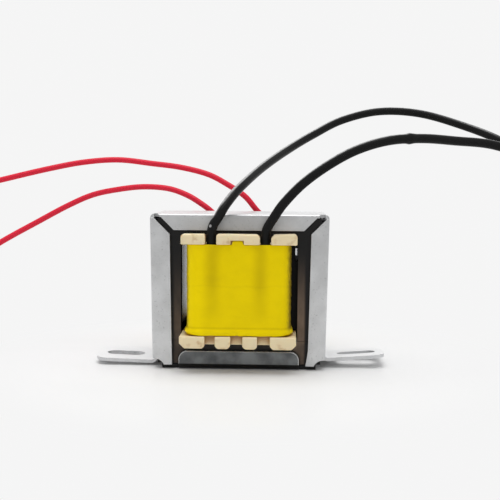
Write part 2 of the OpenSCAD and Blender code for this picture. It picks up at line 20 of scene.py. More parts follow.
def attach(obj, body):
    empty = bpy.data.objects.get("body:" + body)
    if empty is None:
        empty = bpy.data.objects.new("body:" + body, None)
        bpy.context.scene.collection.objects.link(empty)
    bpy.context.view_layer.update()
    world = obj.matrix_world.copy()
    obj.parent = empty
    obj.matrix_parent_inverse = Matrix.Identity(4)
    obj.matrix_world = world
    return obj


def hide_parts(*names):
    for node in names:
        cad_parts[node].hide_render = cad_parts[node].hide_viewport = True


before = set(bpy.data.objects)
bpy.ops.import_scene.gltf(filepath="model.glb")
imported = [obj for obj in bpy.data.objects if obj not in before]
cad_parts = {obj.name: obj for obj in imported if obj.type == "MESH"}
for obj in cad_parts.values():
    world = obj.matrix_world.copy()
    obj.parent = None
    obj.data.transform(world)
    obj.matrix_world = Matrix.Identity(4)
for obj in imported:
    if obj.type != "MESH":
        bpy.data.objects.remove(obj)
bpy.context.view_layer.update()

MM = 0.001
BODY = "root"
log = logging.getLogger("transformer")

Colour = tuple[float, float, float, float]
Point = tuple[float, float, float]
Source = bpy.types.Node | bpy.types.NodeSocket


# ---- helpers -------------------------------------------------------------------------------


def linear(code: str) -> Colour:
    """Turns an sRGB hex code into a linear colour.

    Args:
        code: Six hex digits, such as "B8B8B6".

    Returns:
        Linear red, green, blue and an alpha of 1.
    """
    parts = [int(code[k : k + 2], 16) / 255 for k in (0, 2, 4)]
    r, g, b = (
        c / 12.92 if c <= 0.04045 else ((c + 0.055) / 1.055) ** 2.4 for c in parts
    )
    return (r, g, b, 1.0)


@dataclass(frozen=True)
class Fade:
    """A smooth change of a value from one place to another.

    Attributes:
        start: Place at which the change starts.
        end: Place at which it ends.
        before: Value up to the start.
        after: Value from the end on.
    """

    start: float
    end: float
    before: float = 0.0
    after: float = 1.0

    def at(self, place: float) -> float:
        """Works out the value at a place."""
        t = min(1.0, max(0.0, (place - self.start) / (self.end - self.start)))
        return self.before + (self.after - self.before) * t * t * (3 - 2 * t)


@dataclass(frozen=True)
class Hump:
    """A smooth rise to a top and down again.

    Attributes:
        centre: Place of the top.
        reach: Distance from the top at which nothing is left.
        height: Value at the top.
    """

    centre: float
    reach: float
    height: float

    def at(self, place: float) -> float:
        """Works out the value at a place."""
        return Fade(self.reach, 0.0, 0.0, self.height).at(abs(place - self.centre))


@dataclass(frozen=True)
class Wave:
    """Soft random unevenness.

    Attributes:
        height: How far it goes up and down, at most.
        per_mm: Waves per millimetre along each axis.
        shift: Shift that gives a pattern of its own.
    """

    height: float
    per_mm: Point
    shift: Point = (0.0, 0.0, 0.0)

    def at(self, place: Vector) -> float:
        """Works out the unevenness at a place in millimetres."""
        place = Vector([a * b for a, b in zip(place, self.per_mm)]) + Vector(self.shift)
        return self.height * noise.noise(place)


class Facing(Enum):
    """Where a flat face looks, with the axis of its direction."""

    SIDEWAYS = "X"
    FRONT_AND_BACK = "Y"


Factor = float | Source | tuple[Fade, Source]


def placed(name: str, data: bpy.types.ID) -> bpy.types.Object:
    """Makes an object and puts it in the scene.

    Args:
        name: Name of the object.
        data: Its mesh, curve, lamp or camera.

    Returns:
        The object, at the origin.
    """
    made = bpy.data.objects.new(name, data)
    bpy.context.scene.collection.objects.link(made)
    return made


class NodeTree:
    """A shader or geometry node tree that is filled node by node."""

    def __init__(self, tree: bpy.types.NodeTree) -> None:
        """Takes the tree to fill."""
        self.tree = tree

    def add(
        self, kind: str, inputs: dict[Any, Any] | None = None, **settings: Any
    ) -> bpy.types.Node:
        """Adds a node with its settings and links.

        Args:
            kind: Blender's type name of the node.
            inputs: Value, socket or node for each input, by name or index, or a list
                of them. A node stands for its first output in use.
            **settings: Properties of the node itself.

        Returns:
            The new node.
        """
        new = self.tree.nodes.new(kind)
        for key, value in settings.items():
            setattr(new, key, value)
        for key, given in (inputs or {}).items():
            for value in given if isinstance(given, list) else [given]:
                if isinstance(value, bpy.types.Node):
                    value = next(s for s in value.outputs if not s.is_unavailable)
                if isinstance(value, bpy.types.NodeSocket):
                    self.tree.links.new(value, new.inputs[key])
                else:
                    new.inputs[key].default_value = value
        return new

    def share(self, *factors: Factor) -> Source:
        """Multiplies factors into one share.

        Args:
            *factors: Each a number, a source, or a fade with the source that it reads.

        Returns:
            The source of the product.
        """
        product = None
        for factor in factors:
            if isinstance(factor, tuple):
                fade, source = factor
                factor = self.add(
                    "ShaderNodeMapRange",
                    {0: source, 1: fade.start, 2: fade.end, 3: fade.before, 4: fade.after},
                    interpolation_type="SMOOTHSTEP",
                )
            if product is not None:
                factor = self.add(
                    "ShaderNodeMath", {0: product, 1: factor}, operation="MULTIPLY"
                )
            product = factor
        return product

    def coated(self, colour: Colour | Source, *coats: tuple[Source, str]) -> Source:
        """Lays coats over a colour, one after another.

        Args:
            colour: Linear colour underneath, or its source.
            *coats: Share and sRGB hex code of each coat.

        Returns:
            The source of the last coat's colour.
        """
        for share, code in coats:
            colour = self.add(
                "ShaderNodeMix", {0: share, 6: colour, 7: linear(code)}, data_type="RGBA"
            )
        return colour

    def coords(self, stretch: Point = (1.0, 1.0, 1.0)) -> Source:
        """Adds object coordinates in millimetres.

        Args:
            stretch: How many times longer a pattern becomes along each axis.

        Returns:
            The source of the coordinates.
        """
        place = self.add("ShaderNodeTexCoord").outputs["Object"]
        scale = tuple(1 / (MM * s) for s in stretch)
        return self.add("ShaderNodeMapping", {"Vector": place, "Scale": scale})

    def clouds(
        self, size: float, detail: float = 3.0, stretch: Point = (1.0, 1.0, 1.0)
    ) -> Source:
        """Adds soft noise.

        Args:
            size: Width of its features in millimetres.
            detail: How many times finer noise is laid over it.
            stretch: How many times longer the features are along each axis.

        Returns:
            The source of the noise, from 0 to 1.
        """
        return self.add(
            "ShaderNodeTexNoise",
            {"Vector": self.coords(stretch), "Scale": 1 / size, "Detail": detail},
        )

    def faces(self, facing: Facing) -> Source:
        """Finds the flat faces that look one way.

        Args:
            facing: Where they look.

        Returns:
            The source of 1 on those faces and 0 elsewhere.
        """
        normal = self.add("ShaderNodeNewGeometry").outputs["True Normal"]
        part = self.add("ShaderNodeSeparateXYZ", {0: normal}).outputs[facing.value]
        part = self.add("ShaderNodeMath", {0: part}, operation="ABSOLUTE")
        return self.add("ShaderNodeMath", {0: part, 1: 0.7}, operation="GREATER_THAN")

    def open_share(self, reach: float) -> Source:
        """Finds the corners and places near other parts, where painted shade and stain go.

        Args:
            reach: How far in millimetres the shade and stain spread from a corner.

        Returns:
            The source of 1 on open faces and 0 in corners.
        """
        hidden = self.add(
            "ShaderNodeAmbientOcclusion", {"Distance": reach * MM}, samples=8
        ).outputs["AO"]
        return self.share((Fade(0.45, 0.9), hidden))

    def seen_rays(self) -> Source:
        """Finds the rays that end in the camera, straight, in a mirror or through glass.

        Returns:
            The source of 1 for those rays and 0 for the others.
        """
        rays = self.add("ShaderNodeLightPath").outputs
        seen = rays["Is Camera Ray"]
        for kind in ("Is Glossy Ray", "Is Transmission Ray"):
            seen = self.add("ShaderNodeMath", {0: seen, 1: rays[kind]}, operation="MAXIMUM")
        return seen


# ---- finishes ------------------------------------------------------------------------------


@dataclass(frozen=True)
class Finish:
    """Base of every finish: a named real material with its colour.

    Attributes:
        name: Name of the Blender material.
        slot: Material slot of the record. It is not used.
        colour: sRGB hex code.
        roughness: Microfacet roughness.
    """

    name: str
    slot: str
    colour: str
    roughness: float

    def material(self) -> bpy.types.Material:
        """Builds the finish's material at its first use.

        Returns:
            The material.
        """
        made = bpy.data.materials.get(self.name)
        if not made:
            made = bpy.data.materials.new(self.name)
            made.use_nodes = True
            made.node_tree.nodes.clear()
            tree = NodeTree(made.node_tree)
            tree.add("ShaderNodeOutputMaterial", {"Surface": self.shade(tree)})
        return made

    def shade(self, tree: NodeTree) -> Source:
        """Adds the finish's nodes to a tree and gives the surface's shader."""
        raise NotImplementedError


@dataclass(frozen=True)
class SteelFinish(Finish):
    """Sheet steel with a rolled grain, galvanised or bare.

    Attributes:
        metallic: Share of metal in the surface; weathered zinc has less than 1.
        mottle: How much darker the duller patches are.
        patch_size: Size of the patches in millimetres.
        specks: How dark the small pits in the skin are.
        pit_size: Distance between the pits in millimetres.
        grain: Depth of the rolled grain in millimetres.
        grain_size: Width of the grain in millimetres. The real one is too fine to show,
            so it is drawn several times as coarse.
        edge: Radius of the broken edges in millimetres.
        edge_highlight: How strongly a highlight is painted on the edges.
        painted_light_code: sRGB hex code of the painted highlights and the painted light.
        foot_shade_z: Height in millimetres below which the steel is painted black, as shade.
        pit_and_shade_code: sRGB hex code of the pits and of the painted shade at the foot.
        painted_light: How much paler the faces that look up and the feet are painted, as if
            lit.
        painted_light_z: Painted light on faces that look up, by height; less on the lid than
            on the feet.
        painted_light_x: Painted light on the feet, on every side.
        front_shade: How much darker the front and the back are painted, as shade.
        front_shade_code: sRGB hex code of the painted shade.
        front_shade_z: Painted shade by height.
        front_shade_x: Painted shade by distance from the middle.
    """

    metallic: float = 1.0
    mottle: float = 0.14
    patch_size: float = 2.8571
    specks: float = 0.3
    pit_size: float = 0.29412
    grain: float = 0.002
    grain_size: float = 0.16667
    edge: float = 0.08
    edge_highlight: float = 0.5
    painted_light_code: str = "F2F2F2"
    foot_shade_z: float = -1.0
    pit_and_shade_code: str = "1D1D1D"
    painted_light: float = 0.0
    painted_light_z: Fade = Fade(12.0, 25.0, 1.0, 0.6)
    painted_light_x: Fade = Fade(26.4, 27.6, 0.0, 0.8)
    front_shade: float = 0.0
    front_shade_code: str = "6C6C6C"
    front_shade_z: Fade = Fade(6.0, 25.0)
    front_shade_x: Fade = Fade(2.0, 9.0, 1.35, 0.55)

    def shade(self, tree: NodeTree) -> Source:
        """Metal with patches, pits, a rolled grain and broken edges, and painted highlights,
        light and shade.

        Args:
            tree: Node tree of the material.

        Returns:
            The surface's shader.
        """
        place = tree.add("ShaderNodeSeparateXYZ", {0: tree.coords()}).outputs
        aside = tree.add("ShaderNodeMath", {0: place["X"]}, operation="ABSOLUTE")
        plain = tree.add("ShaderNodeNewGeometry").outputs["True Normal"]
        up = tree.add("ShaderNodeSeparateXYZ", {0: plain}).outputs["Z"]
        rounded = tree.add("ShaderNodeBevel", {"Radius": self.edge * MM}, samples=6)
        match = tree.add(
            "ShaderNodeVectorMath", {0: rounded, 1: plain}, operation="DOT_PRODUCT"
        )
        patches = tree.clouds(self.patch_size, 4.0)
        pits = tree.share(self.specks, (Fade(0.63, 0.72), tree.clouds(self.pit_size)))
        # painted shade: below the foot height the steel is painted black, for the dark gap
        # beneath
        scale = tree.share((Fade(self.foot_shade_z + 0.06, self.foot_shade_z), place["Z"]))
        pits_and_shade = tree.add("ShaderNodeMath", {0: pits, 1: scale}, operation="MAXIMUM")
        # painted light: faces that look up, and the feet on every side, are painted paler, as
        # if lit from above
        upper = tree.share(self.painted_light, (Fade(0.4, 0.8), up), (self.painted_light_z, place["Z"]))
        feet = tree.share(self.painted_light, (self.painted_light_x, aside))
        painted_light = tree.add("ShaderNodeMath", {0: upper, 1: feet}, operation="MAXIMUM")
        # painted shade: the front and back faces are painted darker, most near the top middle
        front_shade = tree.share(
            self.front_shade,
            tree.faces(Facing.FRONT_AND_BACK),
            (self.front_shade_z, place["Z"]),
            (self.front_shade_x, aside),
        )
        # the rounded normal turns away from the face's own at an edge, where a highlight is
        # painted
        unshaded = Fade(self.foot_shade_z, self.foot_shade_z + 0.06)
        rubbed = tree.share(self.edge_highlight, (Fade(0.995, 0.93), match), (unshaded, place["Z"]))
        base = linear(self.colour)
        colour = tree.coated(
            tuple(c * (1 - self.mottle) for c in base[:3]) + (1.0,),
            (tree.share((Fade(0.3, 0.7), patches)), self.colour),
            (pits_and_shade, self.pit_and_shade_code),
            (painted_light, self.painted_light_code),
            (front_shade, self.front_shade_code),
            (rubbed, self.painted_light_code),
        )
        polish = Fade(0.25, 0.75, self.roughness + 0.05, self.roughness - 0.04)
        bump = tree.add(
            "ShaderNodeBump",
            {
                "Height": tree.clouds(self.grain_size, 5.0, (1.0, 1.0, 3.0)),
                "Distance": self.grain * MM,
                "Normal": rounded,
            },
        )
        return tree.add(
            "ShaderNodeBsdfPrincipled",
            {
                "Base Color": colour,
                # where light is painted in, some of the metal's mirror is taken away
                "Metallic": tree.share(self.metallic, (Fade(0.0, 1.0, 1.0, 0.3), painted_light)),
                "Roughness": tree.share((polish, patches)),
                "Normal": bump,
            },
        )


@dataclass(frozen=True)
class VarnishFinish(Finish):
    """Impregnating varnish over the dark oxide of electrical steel.

    Attributes:
        reflection_code: sRGB hex code of the painted amber reflection.
        cut: sRGB hex code of the bright punched edges.
        coat: Weight of the clear coat.
        reflection_size: Size of the reflection's clouds in millimetres.
        reflection_z: How the painted reflection grows downwards.
        reflection_x: How it grows from left to right.
        limb_x: How it fades out towards the middle.
        lip_x: Where it ends at the frame's lips, leaving painted shade along them.
        sill_z: How it thins out above the base channel's lip, leaving painted shade there.
        bare_y: Front and back ends of the stretch of bright edges.
        bare_shade_z: Heights above the lower flange over which the bright edges fade into
            painted shade below.
    """

    reflection_code: str = "7C6959"
    cut: str = "B4BCD2"
    coat: float = 0.1
    reflection_size: float = 2.0
    reflection_z: Fade = Fade(21.0, 7.0)
    reflection_x: Fade = Fade(-6.0, 8.0, 0.55, 1.0)
    limb_x: Fade = Fade(8.6, 9.6, 0.2, 1.0)
    lip_x: Fade = Fade(11.5, 11.0)
    sill_z: Fade = Fade(3.2, 5.4, 0.6, 1.0)
    bare_y: tuple[Fade, Fade] = (Fade(-5.2, -4.6), Fade(4.8, 4.2))
    bare_shade_z: Fade = Fade(7.5, 13.0)

    def shade(self, tree: NodeTree) -> Source:
        """Dark sheet with a painted amber reflection and painted shade, and bright edges on
        both sides.

        Args:
            tree: Node tree of the material.

        Returns:
            The surface's shader.
        """
        place = tree.add("ShaderNodeSeparateXYZ", {0: tree.coords()}).outputs
        aside = tree.add("ShaderNodeMath", {0: place["X"]}, operation="ABSOLUTE")
        # painted reflection: amber on the front and back that grows downwards, left out near
        # other parts as painted shade
        painted_reflection = tree.share(
            tree.faces(Facing.FRONT_AND_BACK),
            tree.open_share(0.9),
            (self.reflection_z, place["Z"]),
            (self.reflection_x, place["X"]),
            (self.limb_x, aside),
            (self.lip_x, aside),
            (self.sill_z, place["Z"]),
            (Fade(0.2, 0.6, 0.5, 1.0), tree.clouds(self.reflection_size, 4.0, (1.0, 1.0, 2.5))),
        )
        bump = tree.add(
            "ShaderNodeBump", {"Height": tree.clouds(0.5, 4.0), "Distance": 0.01 * MM}
        )
        sheet = tree.add(
            "ShaderNodeBsdfPrincipled",
            {
                "Base Color": tree.coated(linear(self.colour), (painted_reflection, self.reflection_code)),
                "Roughness": self.roughness,
                "Specular IOR Level": 0.2,
                "Coat Weight": self.coat,
                "Coat Roughness": 0.25,
                "Normal": bump,
            },
        )
        front, back = self.bare_y
        # painted shade: the bright edges fade to the dark sheet low down
        bare = tree.share(
            (front, place["Y"]), (back, place["Y"]), (self.bare_shade_z, place["Z"])
        )
        edges = tree.add(
            "ShaderNodeBsdfPrincipled",
            {
                "Base Color": tree.coated(linear(self.colour), (bare, self.cut)),
                "Metallic": tree.share(bare, 0.7),
                "Roughness": 0.22,
                "Specular IOR Level": tree.share(bare, 0.5),
            },
        )
        share = tree.faces(Facing.SIDEWAYS)
        return tree.add("ShaderNodeMixShader", {0: share, 1: sheet, 2: edges})


@dataclass(frozen=True)
class NylonFinish(Finish):
    """Moulded nylon, a little translucent, toasted by the impregnation.

    Attributes:
        toast_and_shade_code: sRGB hex code of the toasted patches and of the corners' stain
            and painted shade.
        patch_size: Size of the patches in millimetres.
        stain_and_shade: Share of the stain and the painted shade in the corners.
        ripple: Depth of the skin's unevenness in millimetres.
        ripple_size: Width of the unevenness in millimetres.
        depth: How far in millimetres light travels under the skin.
    """

    toast_and_shade_code: str = "B4884C"
    patch_size: float = 1.4286
    stain_and_shade: float = 0.9
    ripple: float = 0.04
    ripple_size: float = 0.625
    depth: float = 0.4

    def shade(self, tree: NodeTree) -> Source:
        """Cloudy ivory plastic that lets a little light in.

        Args:
            tree: Node tree of the material.

        Returns:
            The surface's shader.
        """
        cloudy = Fade(0.52, 0.78, 0.0, 0.7)
        patches = tree.share((cloudy, tree.clouds(self.patch_size, 4.0)))
        clean = tree.open_share(1.6)
        # the corners get a real stain and painted shade
        corners = tree.add("ShaderNodeMath", {0: 1.0, 1: clean}, operation="SUBTRACT")
        toast_and_shade = tree.add(
            "ShaderNodeMath",
            {0: patches, 1: tree.share(corners, self.stain_and_shade)},
            operation="MAXIMUM",
        )
        bump = tree.add(
            "ShaderNodeBump",
            {"Height": tree.clouds(self.ripple_size), "Distance": self.ripple * MM},
        )
        return tree.add(
            "ShaderNodeBsdfPrincipled",
            {
                "Base Color": tree.coated(linear(self.colour), (toast_and_shade, self.toast_and_shade_code)),
                "Roughness": self.roughness,
                "Subsurface Weight": 0.35,
                "Subsurface Radius": (1.0, 0.75, 0.45),
                "Subsurface Scale": self.depth * MM,
                "Normal": bump,
            },
        )


@dataclass(frozen=True)
class TapeFinish(Finish):
    """Yellow polyester film tape with its adhesive side to the coil.

    Attributes:
        ground_and_shade_code: sRGB hex code of the film over dark leads and of its painted
            shade.
        attribute: Name of the mesh attribute that says how dark the film is painted, for the
            leads under it and for shade.
        cloud_size: Size of the film's own clouds in millimetres.
        corner_shade_code: sRGB hex code of the painted shade where the film turns round the
            coil's corners.
        corner_shade_x: How the painted shade grows towards the corners.
        corner_shade_z: Where the flared lower edge, which has no painted shade, ends.
        ragged: How far in millimetres the edge of the shaded stretch wanders.
        ragged_size: Length of the wander in millimetres.
        crease: Depth of the creases in millimetres.
        crease_size: Distance between the creases in millimetres.
    """

    ground_and_shade_code: str = "B59B02"
    attribute: str = "ground_and_shade"
    cloud_size: float = 3.3333
    corner_shade_code: str = "4A3806"
    corner_shade_x: Fade = Fade(7.95, 8.85, 0.0, 0.85)
    corner_shade_z: Fade = Fade(7.3, 8.2)
    ragged: float = 0.7
    ragged_size: float = 0.71429
    crease: float = 0.12
    crease_size: float = 1.4286

    def shade(self, tree: NodeTree) -> Source:
        """Satin film, darker over the joints beneath it, with painted shade round the
        corners, along the lap and the fold, and on the right.

        Args:
            tree: Node tree of the material.

        Returns:
            The surface's shader.
        """
        place = tree.add("ShaderNodeSeparateXYZ", {0: tree.coords()}).outputs
        ground_and_shade = tree.add("ShaderNodeAttribute", attribute_name=self.attribute)
        clouds = tree.share((Fade(0.3, 0.8, 0.0, 0.12), tree.clouds(self.cloud_size)))
        # the attribute carries the dark leads under the film and painted shade
        dark = tree.add(
            "ShaderNodeMath", {0: ground_and_shade.outputs["Fac"], 1: clouds}, operation="ADD"
        )
        wander = tree.clouds(self.ragged_size, 4.0, (0.2, 1.0, 1.0))
        wander = tree.add(
            "ShaderNodeMath", {0: wander, 1: self.ragged, 2: -self.ragged / 2},
            operation="MULTIPLY_ADD",
        )
        aside = tree.add("ShaderNodeMath", {0: place["X"]}, operation="ABSOLUTE")
        aside = tree.add("ShaderNodeMath", {0: aside, 1: wander}, operation="ADD")
        # painted shade where the film turns away round the corners
        corner = tree.share((self.corner_shade_x, aside), (self.corner_shade_z, place["Z"]))
        bump = tree.add(
            "ShaderNodeBump",
            {
                "Height": tree.clouds(self.crease_size, 4.0, (1.6, 1.0, 0.8)),
                "Distance": self.crease * MM,
            },
        )
        return tree.add(
            "ShaderNodeBsdfPrincipled",
            {
                "Base Color": tree.coated(
                    linear(self.colour), (dark, self.ground_and_shade_code), (corner, self.corner_shade_code)
                ),
                "Roughness": self.roughness,
                "Specular IOR Level": 0.06,
                "Normal": bump,
            },
        )


@dataclass(frozen=True)
class PvcFinish(Finish):
    """Smooth insulation: extruded PVC, sleeving or fibre.

    Attributes:
        scuff: sRGB hex code of rubbed patches.
        scuff_size: Size of the patches in millimetres.
        gloss: Specular level.
        nick: Place in millimetres of a small pale nick in the skin.
        nick_reach: Share of the nick by distance from its middle.
        nick_code: sRGB hex code of the nick.
        top_highlight: Share of a painted highlight along the top.
        highlight_side: Direction that the painted highlight faces.
        highlight_size: Size of the highlight's clouds in millimetres.
        highlight_code: sRGB hex code of the painted highlight.
    """

    scuff: str = "3A3A3A"
    scuff_size: float = 1.1111
    gloss: float = 0.5
    nick: Point | None = None
    nick_reach: Fade = Fade(0.34, 0.16, 0.0, 0.55)
    nick_code: str = "C8C8C8"
    top_highlight: float = 0.0
    highlight_side: Point = (-0.35, 0.0, 0.94)
    highlight_size: float = 0.41667
    highlight_code: str = "D0D0D0"

    def shade(self, tree: NodeTree) -> Source:
        """Smooth plastic with faint rubbed patches, and a nick and a painted highlight where
        they are set.

        Args:
            tree: Node tree of the material.

        Returns:
            The surface's shader.
        """
        rubbed = Fade(0.6, 0.8, 0.0, 0.7)
        coats = [(tree.share((rubbed, tree.clouds(self.scuff_size, 5.0))), self.scuff)]
        if self.nick:
            away = tree.add(
                "ShaderNodeVectorMath",
                {0: tree.coords(), 1: self.nick},
                operation="DISTANCE",
            )
            coats.append((tree.share((self.nick_reach, away)), self.nick_code))
        # painted highlight: a pale top where the lead faces the light
        if self.top_highlight:
            normal = tree.add("ShaderNodeNewGeometry").outputs["Normal"]
            upward = tree.add(
                "ShaderNodeVectorMath",
                {0: normal, 1: self.highlight_side},
                operation="DOT_PRODUCT",
            )
            uneven = (Fade(0.3, 0.6, 0.5, 1.0), tree.clouds(self.highlight_size, 4.0))
            painted_highlight = tree.share(self.top_highlight, (Fade(0.7, 0.94), upward), uneven)
            coats.append((painted_highlight, self.highlight_code))
        bump = tree.add(
            "ShaderNodeBump", {"Height": tree.clouds(0.5), "Distance": 0.02 * MM}
        )
        return tree.add(
            "ShaderNodeBsdfPrincipled",
            {
                "Base Color": tree.coated(linear(self.colour), *coats),
                "Roughness": self.roughness,
                "Specular IOR Level": self.gloss,
                "Normal": bump,
            },
        )


@dataclass(frozen=True)
class WireFinish(Finish):
    """Bright metal wire, tinned or enamelled."""

    def shade(self, tree: NodeTree) -> Source:
        """Plain metal, a little uneven from the drawing die.

        Args:
            tree: Node tree of the material.

        Returns:
            The surface's shader.
        """
        uneven = Fade(0.3, 0.7, self.roughness - 0.05, self.roughness + 0.1)
        return tree.add(
            "ShaderNodeBsdfPrincipled",
            {
                "Base Color": linear(self.colour),
                "Metallic": 1.0,
                "Roughness": tree.share((uneven, tree.clouds(0.33333))),
            },
        )


@dataclass(frozen=True)
class SweepFinish(Finish):
    """Matt white table and backdrop that melt into an even white away from the object.

    Attributes:
        glow: Brightness of the even white.
        away: Share of the glow by distance from the object in millimetres.
        ahead: Share of the glow in front of the object, by the place along Y.
        sheen: Share of the mirror image in the matt white.
    """

    glow: float = 0.915
    away: Fade = Fade(24.0, 50.0, 0.04, 1.0)
    ahead: Fade = Fade(-12.5, -22.0, 0.0, 0.6)
    sheen: float = 0.12

    def shade(self, tree: NodeTree) -> Source:
        """Diffuse white that takes shadows close to the object.

        Args:
            tree: Node tree of the material.

        Returns:
            The surface's shader.
        """
        chalk = tree.add("ShaderNodeBsdfDiffuse", {"Color": linear(self.colour)})
        gloss = tree.add("ShaderNodeBsdfGlossy", {"Roughness": 0.3})
        matt = tree.add("ShaderNodeMixShader", {0: self.sheen, 1: chalk, 2: gloss})
        even = tree.add(
            "ShaderNodeEmission", {"Color": linear("FFFFFF"), "Strength": self.glow}
        )
        place = tree.coords()
        distance = tree.add("ShaderNodeVectorMath", {0: place}, operation="LENGTH")
        front = tree.add("ShaderNodeSeparateXYZ", {0: place}).outputs["Y"]
        around = tree.share((self.away, distance))
        ahead = tree.share((self.ahead, front))
        glowing = tree.add("ShaderNodeMath", {0: around, 1: ahead}, operation="MAXIMUM")
        share = tree.share(glowing, tree.seen_rays())
        return tree.add("ShaderNodeMixShader", {0: share, 1: matt, 2: even})


class Finishes:
    """Every finish of the object and its stage."""

    # strip dipped in zinc and skin passed: an even, pale grey satin
    GALVANISED = SteelFinish(
        "galvanised steel strip",
        "galvanised_steel",
        "CECFD0",
        0.38,
        metallic=0.7,
        # painted light on faces that look up and on the feet, and painted shade on the front
        # and back
        painted_light=0.75,
        front_shade=0.26,
    )
    # steel strip, darker and cloudier than the frame's, with painted highlights on its edges
    # and its foot painted black as shade
    BASE = SteelFinish(
        "cold rolled steel strip",
        "base_steel",
        "727577",
        0.36,
        metallic=0.8,
        mottle=0.5,
        edge=0.28,
        edge_highlight=0.75,
        foot_shade_z=0.95,
    )
    # silicon steel sheets, stacked and dipped in varnish: nearly black, with a painted amber
    # reflection
    LAMINATION = VarnishFinish("varnished silicon steel", "lamination_steel", "100F0F", 0.5)
    # natural nylon, injection moulded: warm ivory, stained and painted with shade in its
    # corners
    NYLON = NylonFinish("moulded nylon", "ivory_nylon", "E5D5B0", 0.5)
    # polyester film with adhesive, wound under tension: strong yellow with a satin sheen
    TAPE = TapeFinish("polyester film tape", "polyester_tape", "F2D700", 0.42)
    # copper wire in clear enamel, wound in layers: orange metal
    ENAMEL = WireFinish("enamelled copper wire", "enamelled_copper", "B5622F", 0.35)
    # woven glass sleeving: dull and nearly black
    SLEEVE = PvcFinish(
        "woven glass sleeving", "sleeving", "1E1E1E", 0.7, scuff="262626", gloss=0.2
    )
    # black and almost without shine, on the wedge that fills the dark right window gap
    DARK_WEDGE = PvcFinish(
        "black wedge", "wedge_fibre", "0E0E0E", 0.6, scuff="1A1A1A", gloss=0.15
    )
    # black PVC, extruded: smooth, with a painted highlight along its top and one small nick
    BLACK_PVC = PvcFinish(
        "black pvc insulation",
        "black_pvc",
        "1B1B1B",
        0.2,
        scuff="282828",
        gloss=0.05,
        nick=(-4.65, -11.95, 24.9),
        top_highlight=0.75,
    )
    # red PVC, extruded: even crimson, a little duller than the black
    RED_PVC = PvcFinish(
        "red pvc insulation", "red_pvc", "D8213A", 0.4, scuff="D2303C", gloss=0.2
    )
    # copper strands, twisted and dipped in tin: bright and slightly warm
    TIN = WireFinish("tinned copper strand", "tinned_copper", "D6D3CC", 0.25)
    # uncoated paper, rolled off: matt white
    SWEEP = SweepFinish("white paper sweep", "stage", "EAEAEA", 0.9)


# ---- building blocks -----------------------------------------------------------------------


class Piece:
    """Base of what this script builds: one object on the body, in place of CAD nodes.

    Attributes:
        name: Name of the object.
        finish: Its only finish.
        replaces: CAD nodes that it stands for.
    """

    name: str
    finish: Finish
    replaces: tuple[str, ...]

    def mesh(self) -> bpy.types.Mesh:
        """Builds the piece's mesh in metres."""
        raise NotImplementedError

    def build(self) -> bpy.types.Object:
        """Makes the object, gives it its finish and ties it to the CAD frame.

        Returns:
            The object.
        """
        made = placed(self.name, self.mesh())
        made.data.materials.clear()
        made.data.materials.append(self.finish.material())
        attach(made, BODY)
        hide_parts(*self.replaces)
        log.info("%s: %d faces", self.name, len(made.data.polygons))
        return made


class SolidKit:
    """Collects prisms and boxes in millimetres and turns them into one bevelled mesh."""

    def __init__(self) -> None:
        """Starts with nothing."""
        self.bm = bmesh.new()

    def prism(self, outline: Sequence[tuple[float, float]], y0: float, y1: float) -> None:
        """Adds a prism along Y.

        Args:
            outline: Corners in X and Z, counter-clockwise seen from -Y.
            y0: Front end of the prism.
            y1: Back end of the prism.
        """
        rings = [
            [self.bm.verts.new((x * MM, y * MM, z * MM)) for x, z in outline]
            for y in (y0, y1)
        ]
        self.bm.faces.new(rings[0])
        self.bm.faces.new(rings[1][::-1])
        count = len(outline)
        for k in range(count):
            j = (k + 1) % count
            self.bm.faces.new((rings[0][j], rings[0][k], rings[1][k], rings[1][j]))

    def box(self, low: Point, high: Point) -> None:
        """Adds a box.

        Args:
            low: Its corner with the lowest coordinates.
            high: The opposite corner.
        """
        self.prism(
            [(low[0], low[2]), (high[0], low[2]), (high[0], high[2]), (low[0], high[2])],
            low[1],
            high[1],
        )

    def finish(self, name: str, edge: float, segments: int = 3) -> bpy.types.Mesh:
        """Rounds the edges and gives the mesh.

        Args:
            name: Name of the mesh.
            edge: Radius of the rounded edges.
            segments: Steps over each rounded edge.

        Returns:
            The finished mesh, with smooth shading.
        """
        bmesh.ops.recalc_face_normals(self.bm, faces=self.bm.faces)
        raw = bpy.data.meshes.new(name)
        self.bm.to_mesh(raw)
        self.bm.free()
        return with_modifier(
            raw,
            "BEVEL",
            width=edge * MM,
            segments=segments,
            limit_method="ANGLE",
            angle_limit=math.radians(25),
        )


def with_modifier(
    raw: bpy.types.Mesh, kind: str, group: bpy.types.NodeTree | None = None, **settings: Any
) -> bpy.types.Mesh:
    """Bakes a modifier into a mesh.

    Args:
        raw: Mesh to start from.
        kind: Type of the modifier.
        group: Node group of a NODES modifier.
        **settings: Properties of the modifier.

    Returns:
        A new mesh with the modifier's result, with smooth shading.
    """
    carrier = placed(raw.name + "_carrier", raw)
    modifier = carrier.modifiers.new(kind.lower(), kind)
    if group is not None:
        modifier.node_group = group
    for key, value in settings.items():
        setattr(modifier, key, value)
    graph = bpy.context.evaluated_depsgraph_get()
    baked = bpy.data.meshes.new_from_object(carrier.evaluated_get(graph))
    baked.name = raw.name
    carrier.modifiers.remove(modifier)
    bpy.data.objects.remove(carrier)
    baked.polygons.foreach_set("use_smooth", [True] * len(baked.polygons))
    return baked


# ---- bobbin --------------------------------------------------------------------------------


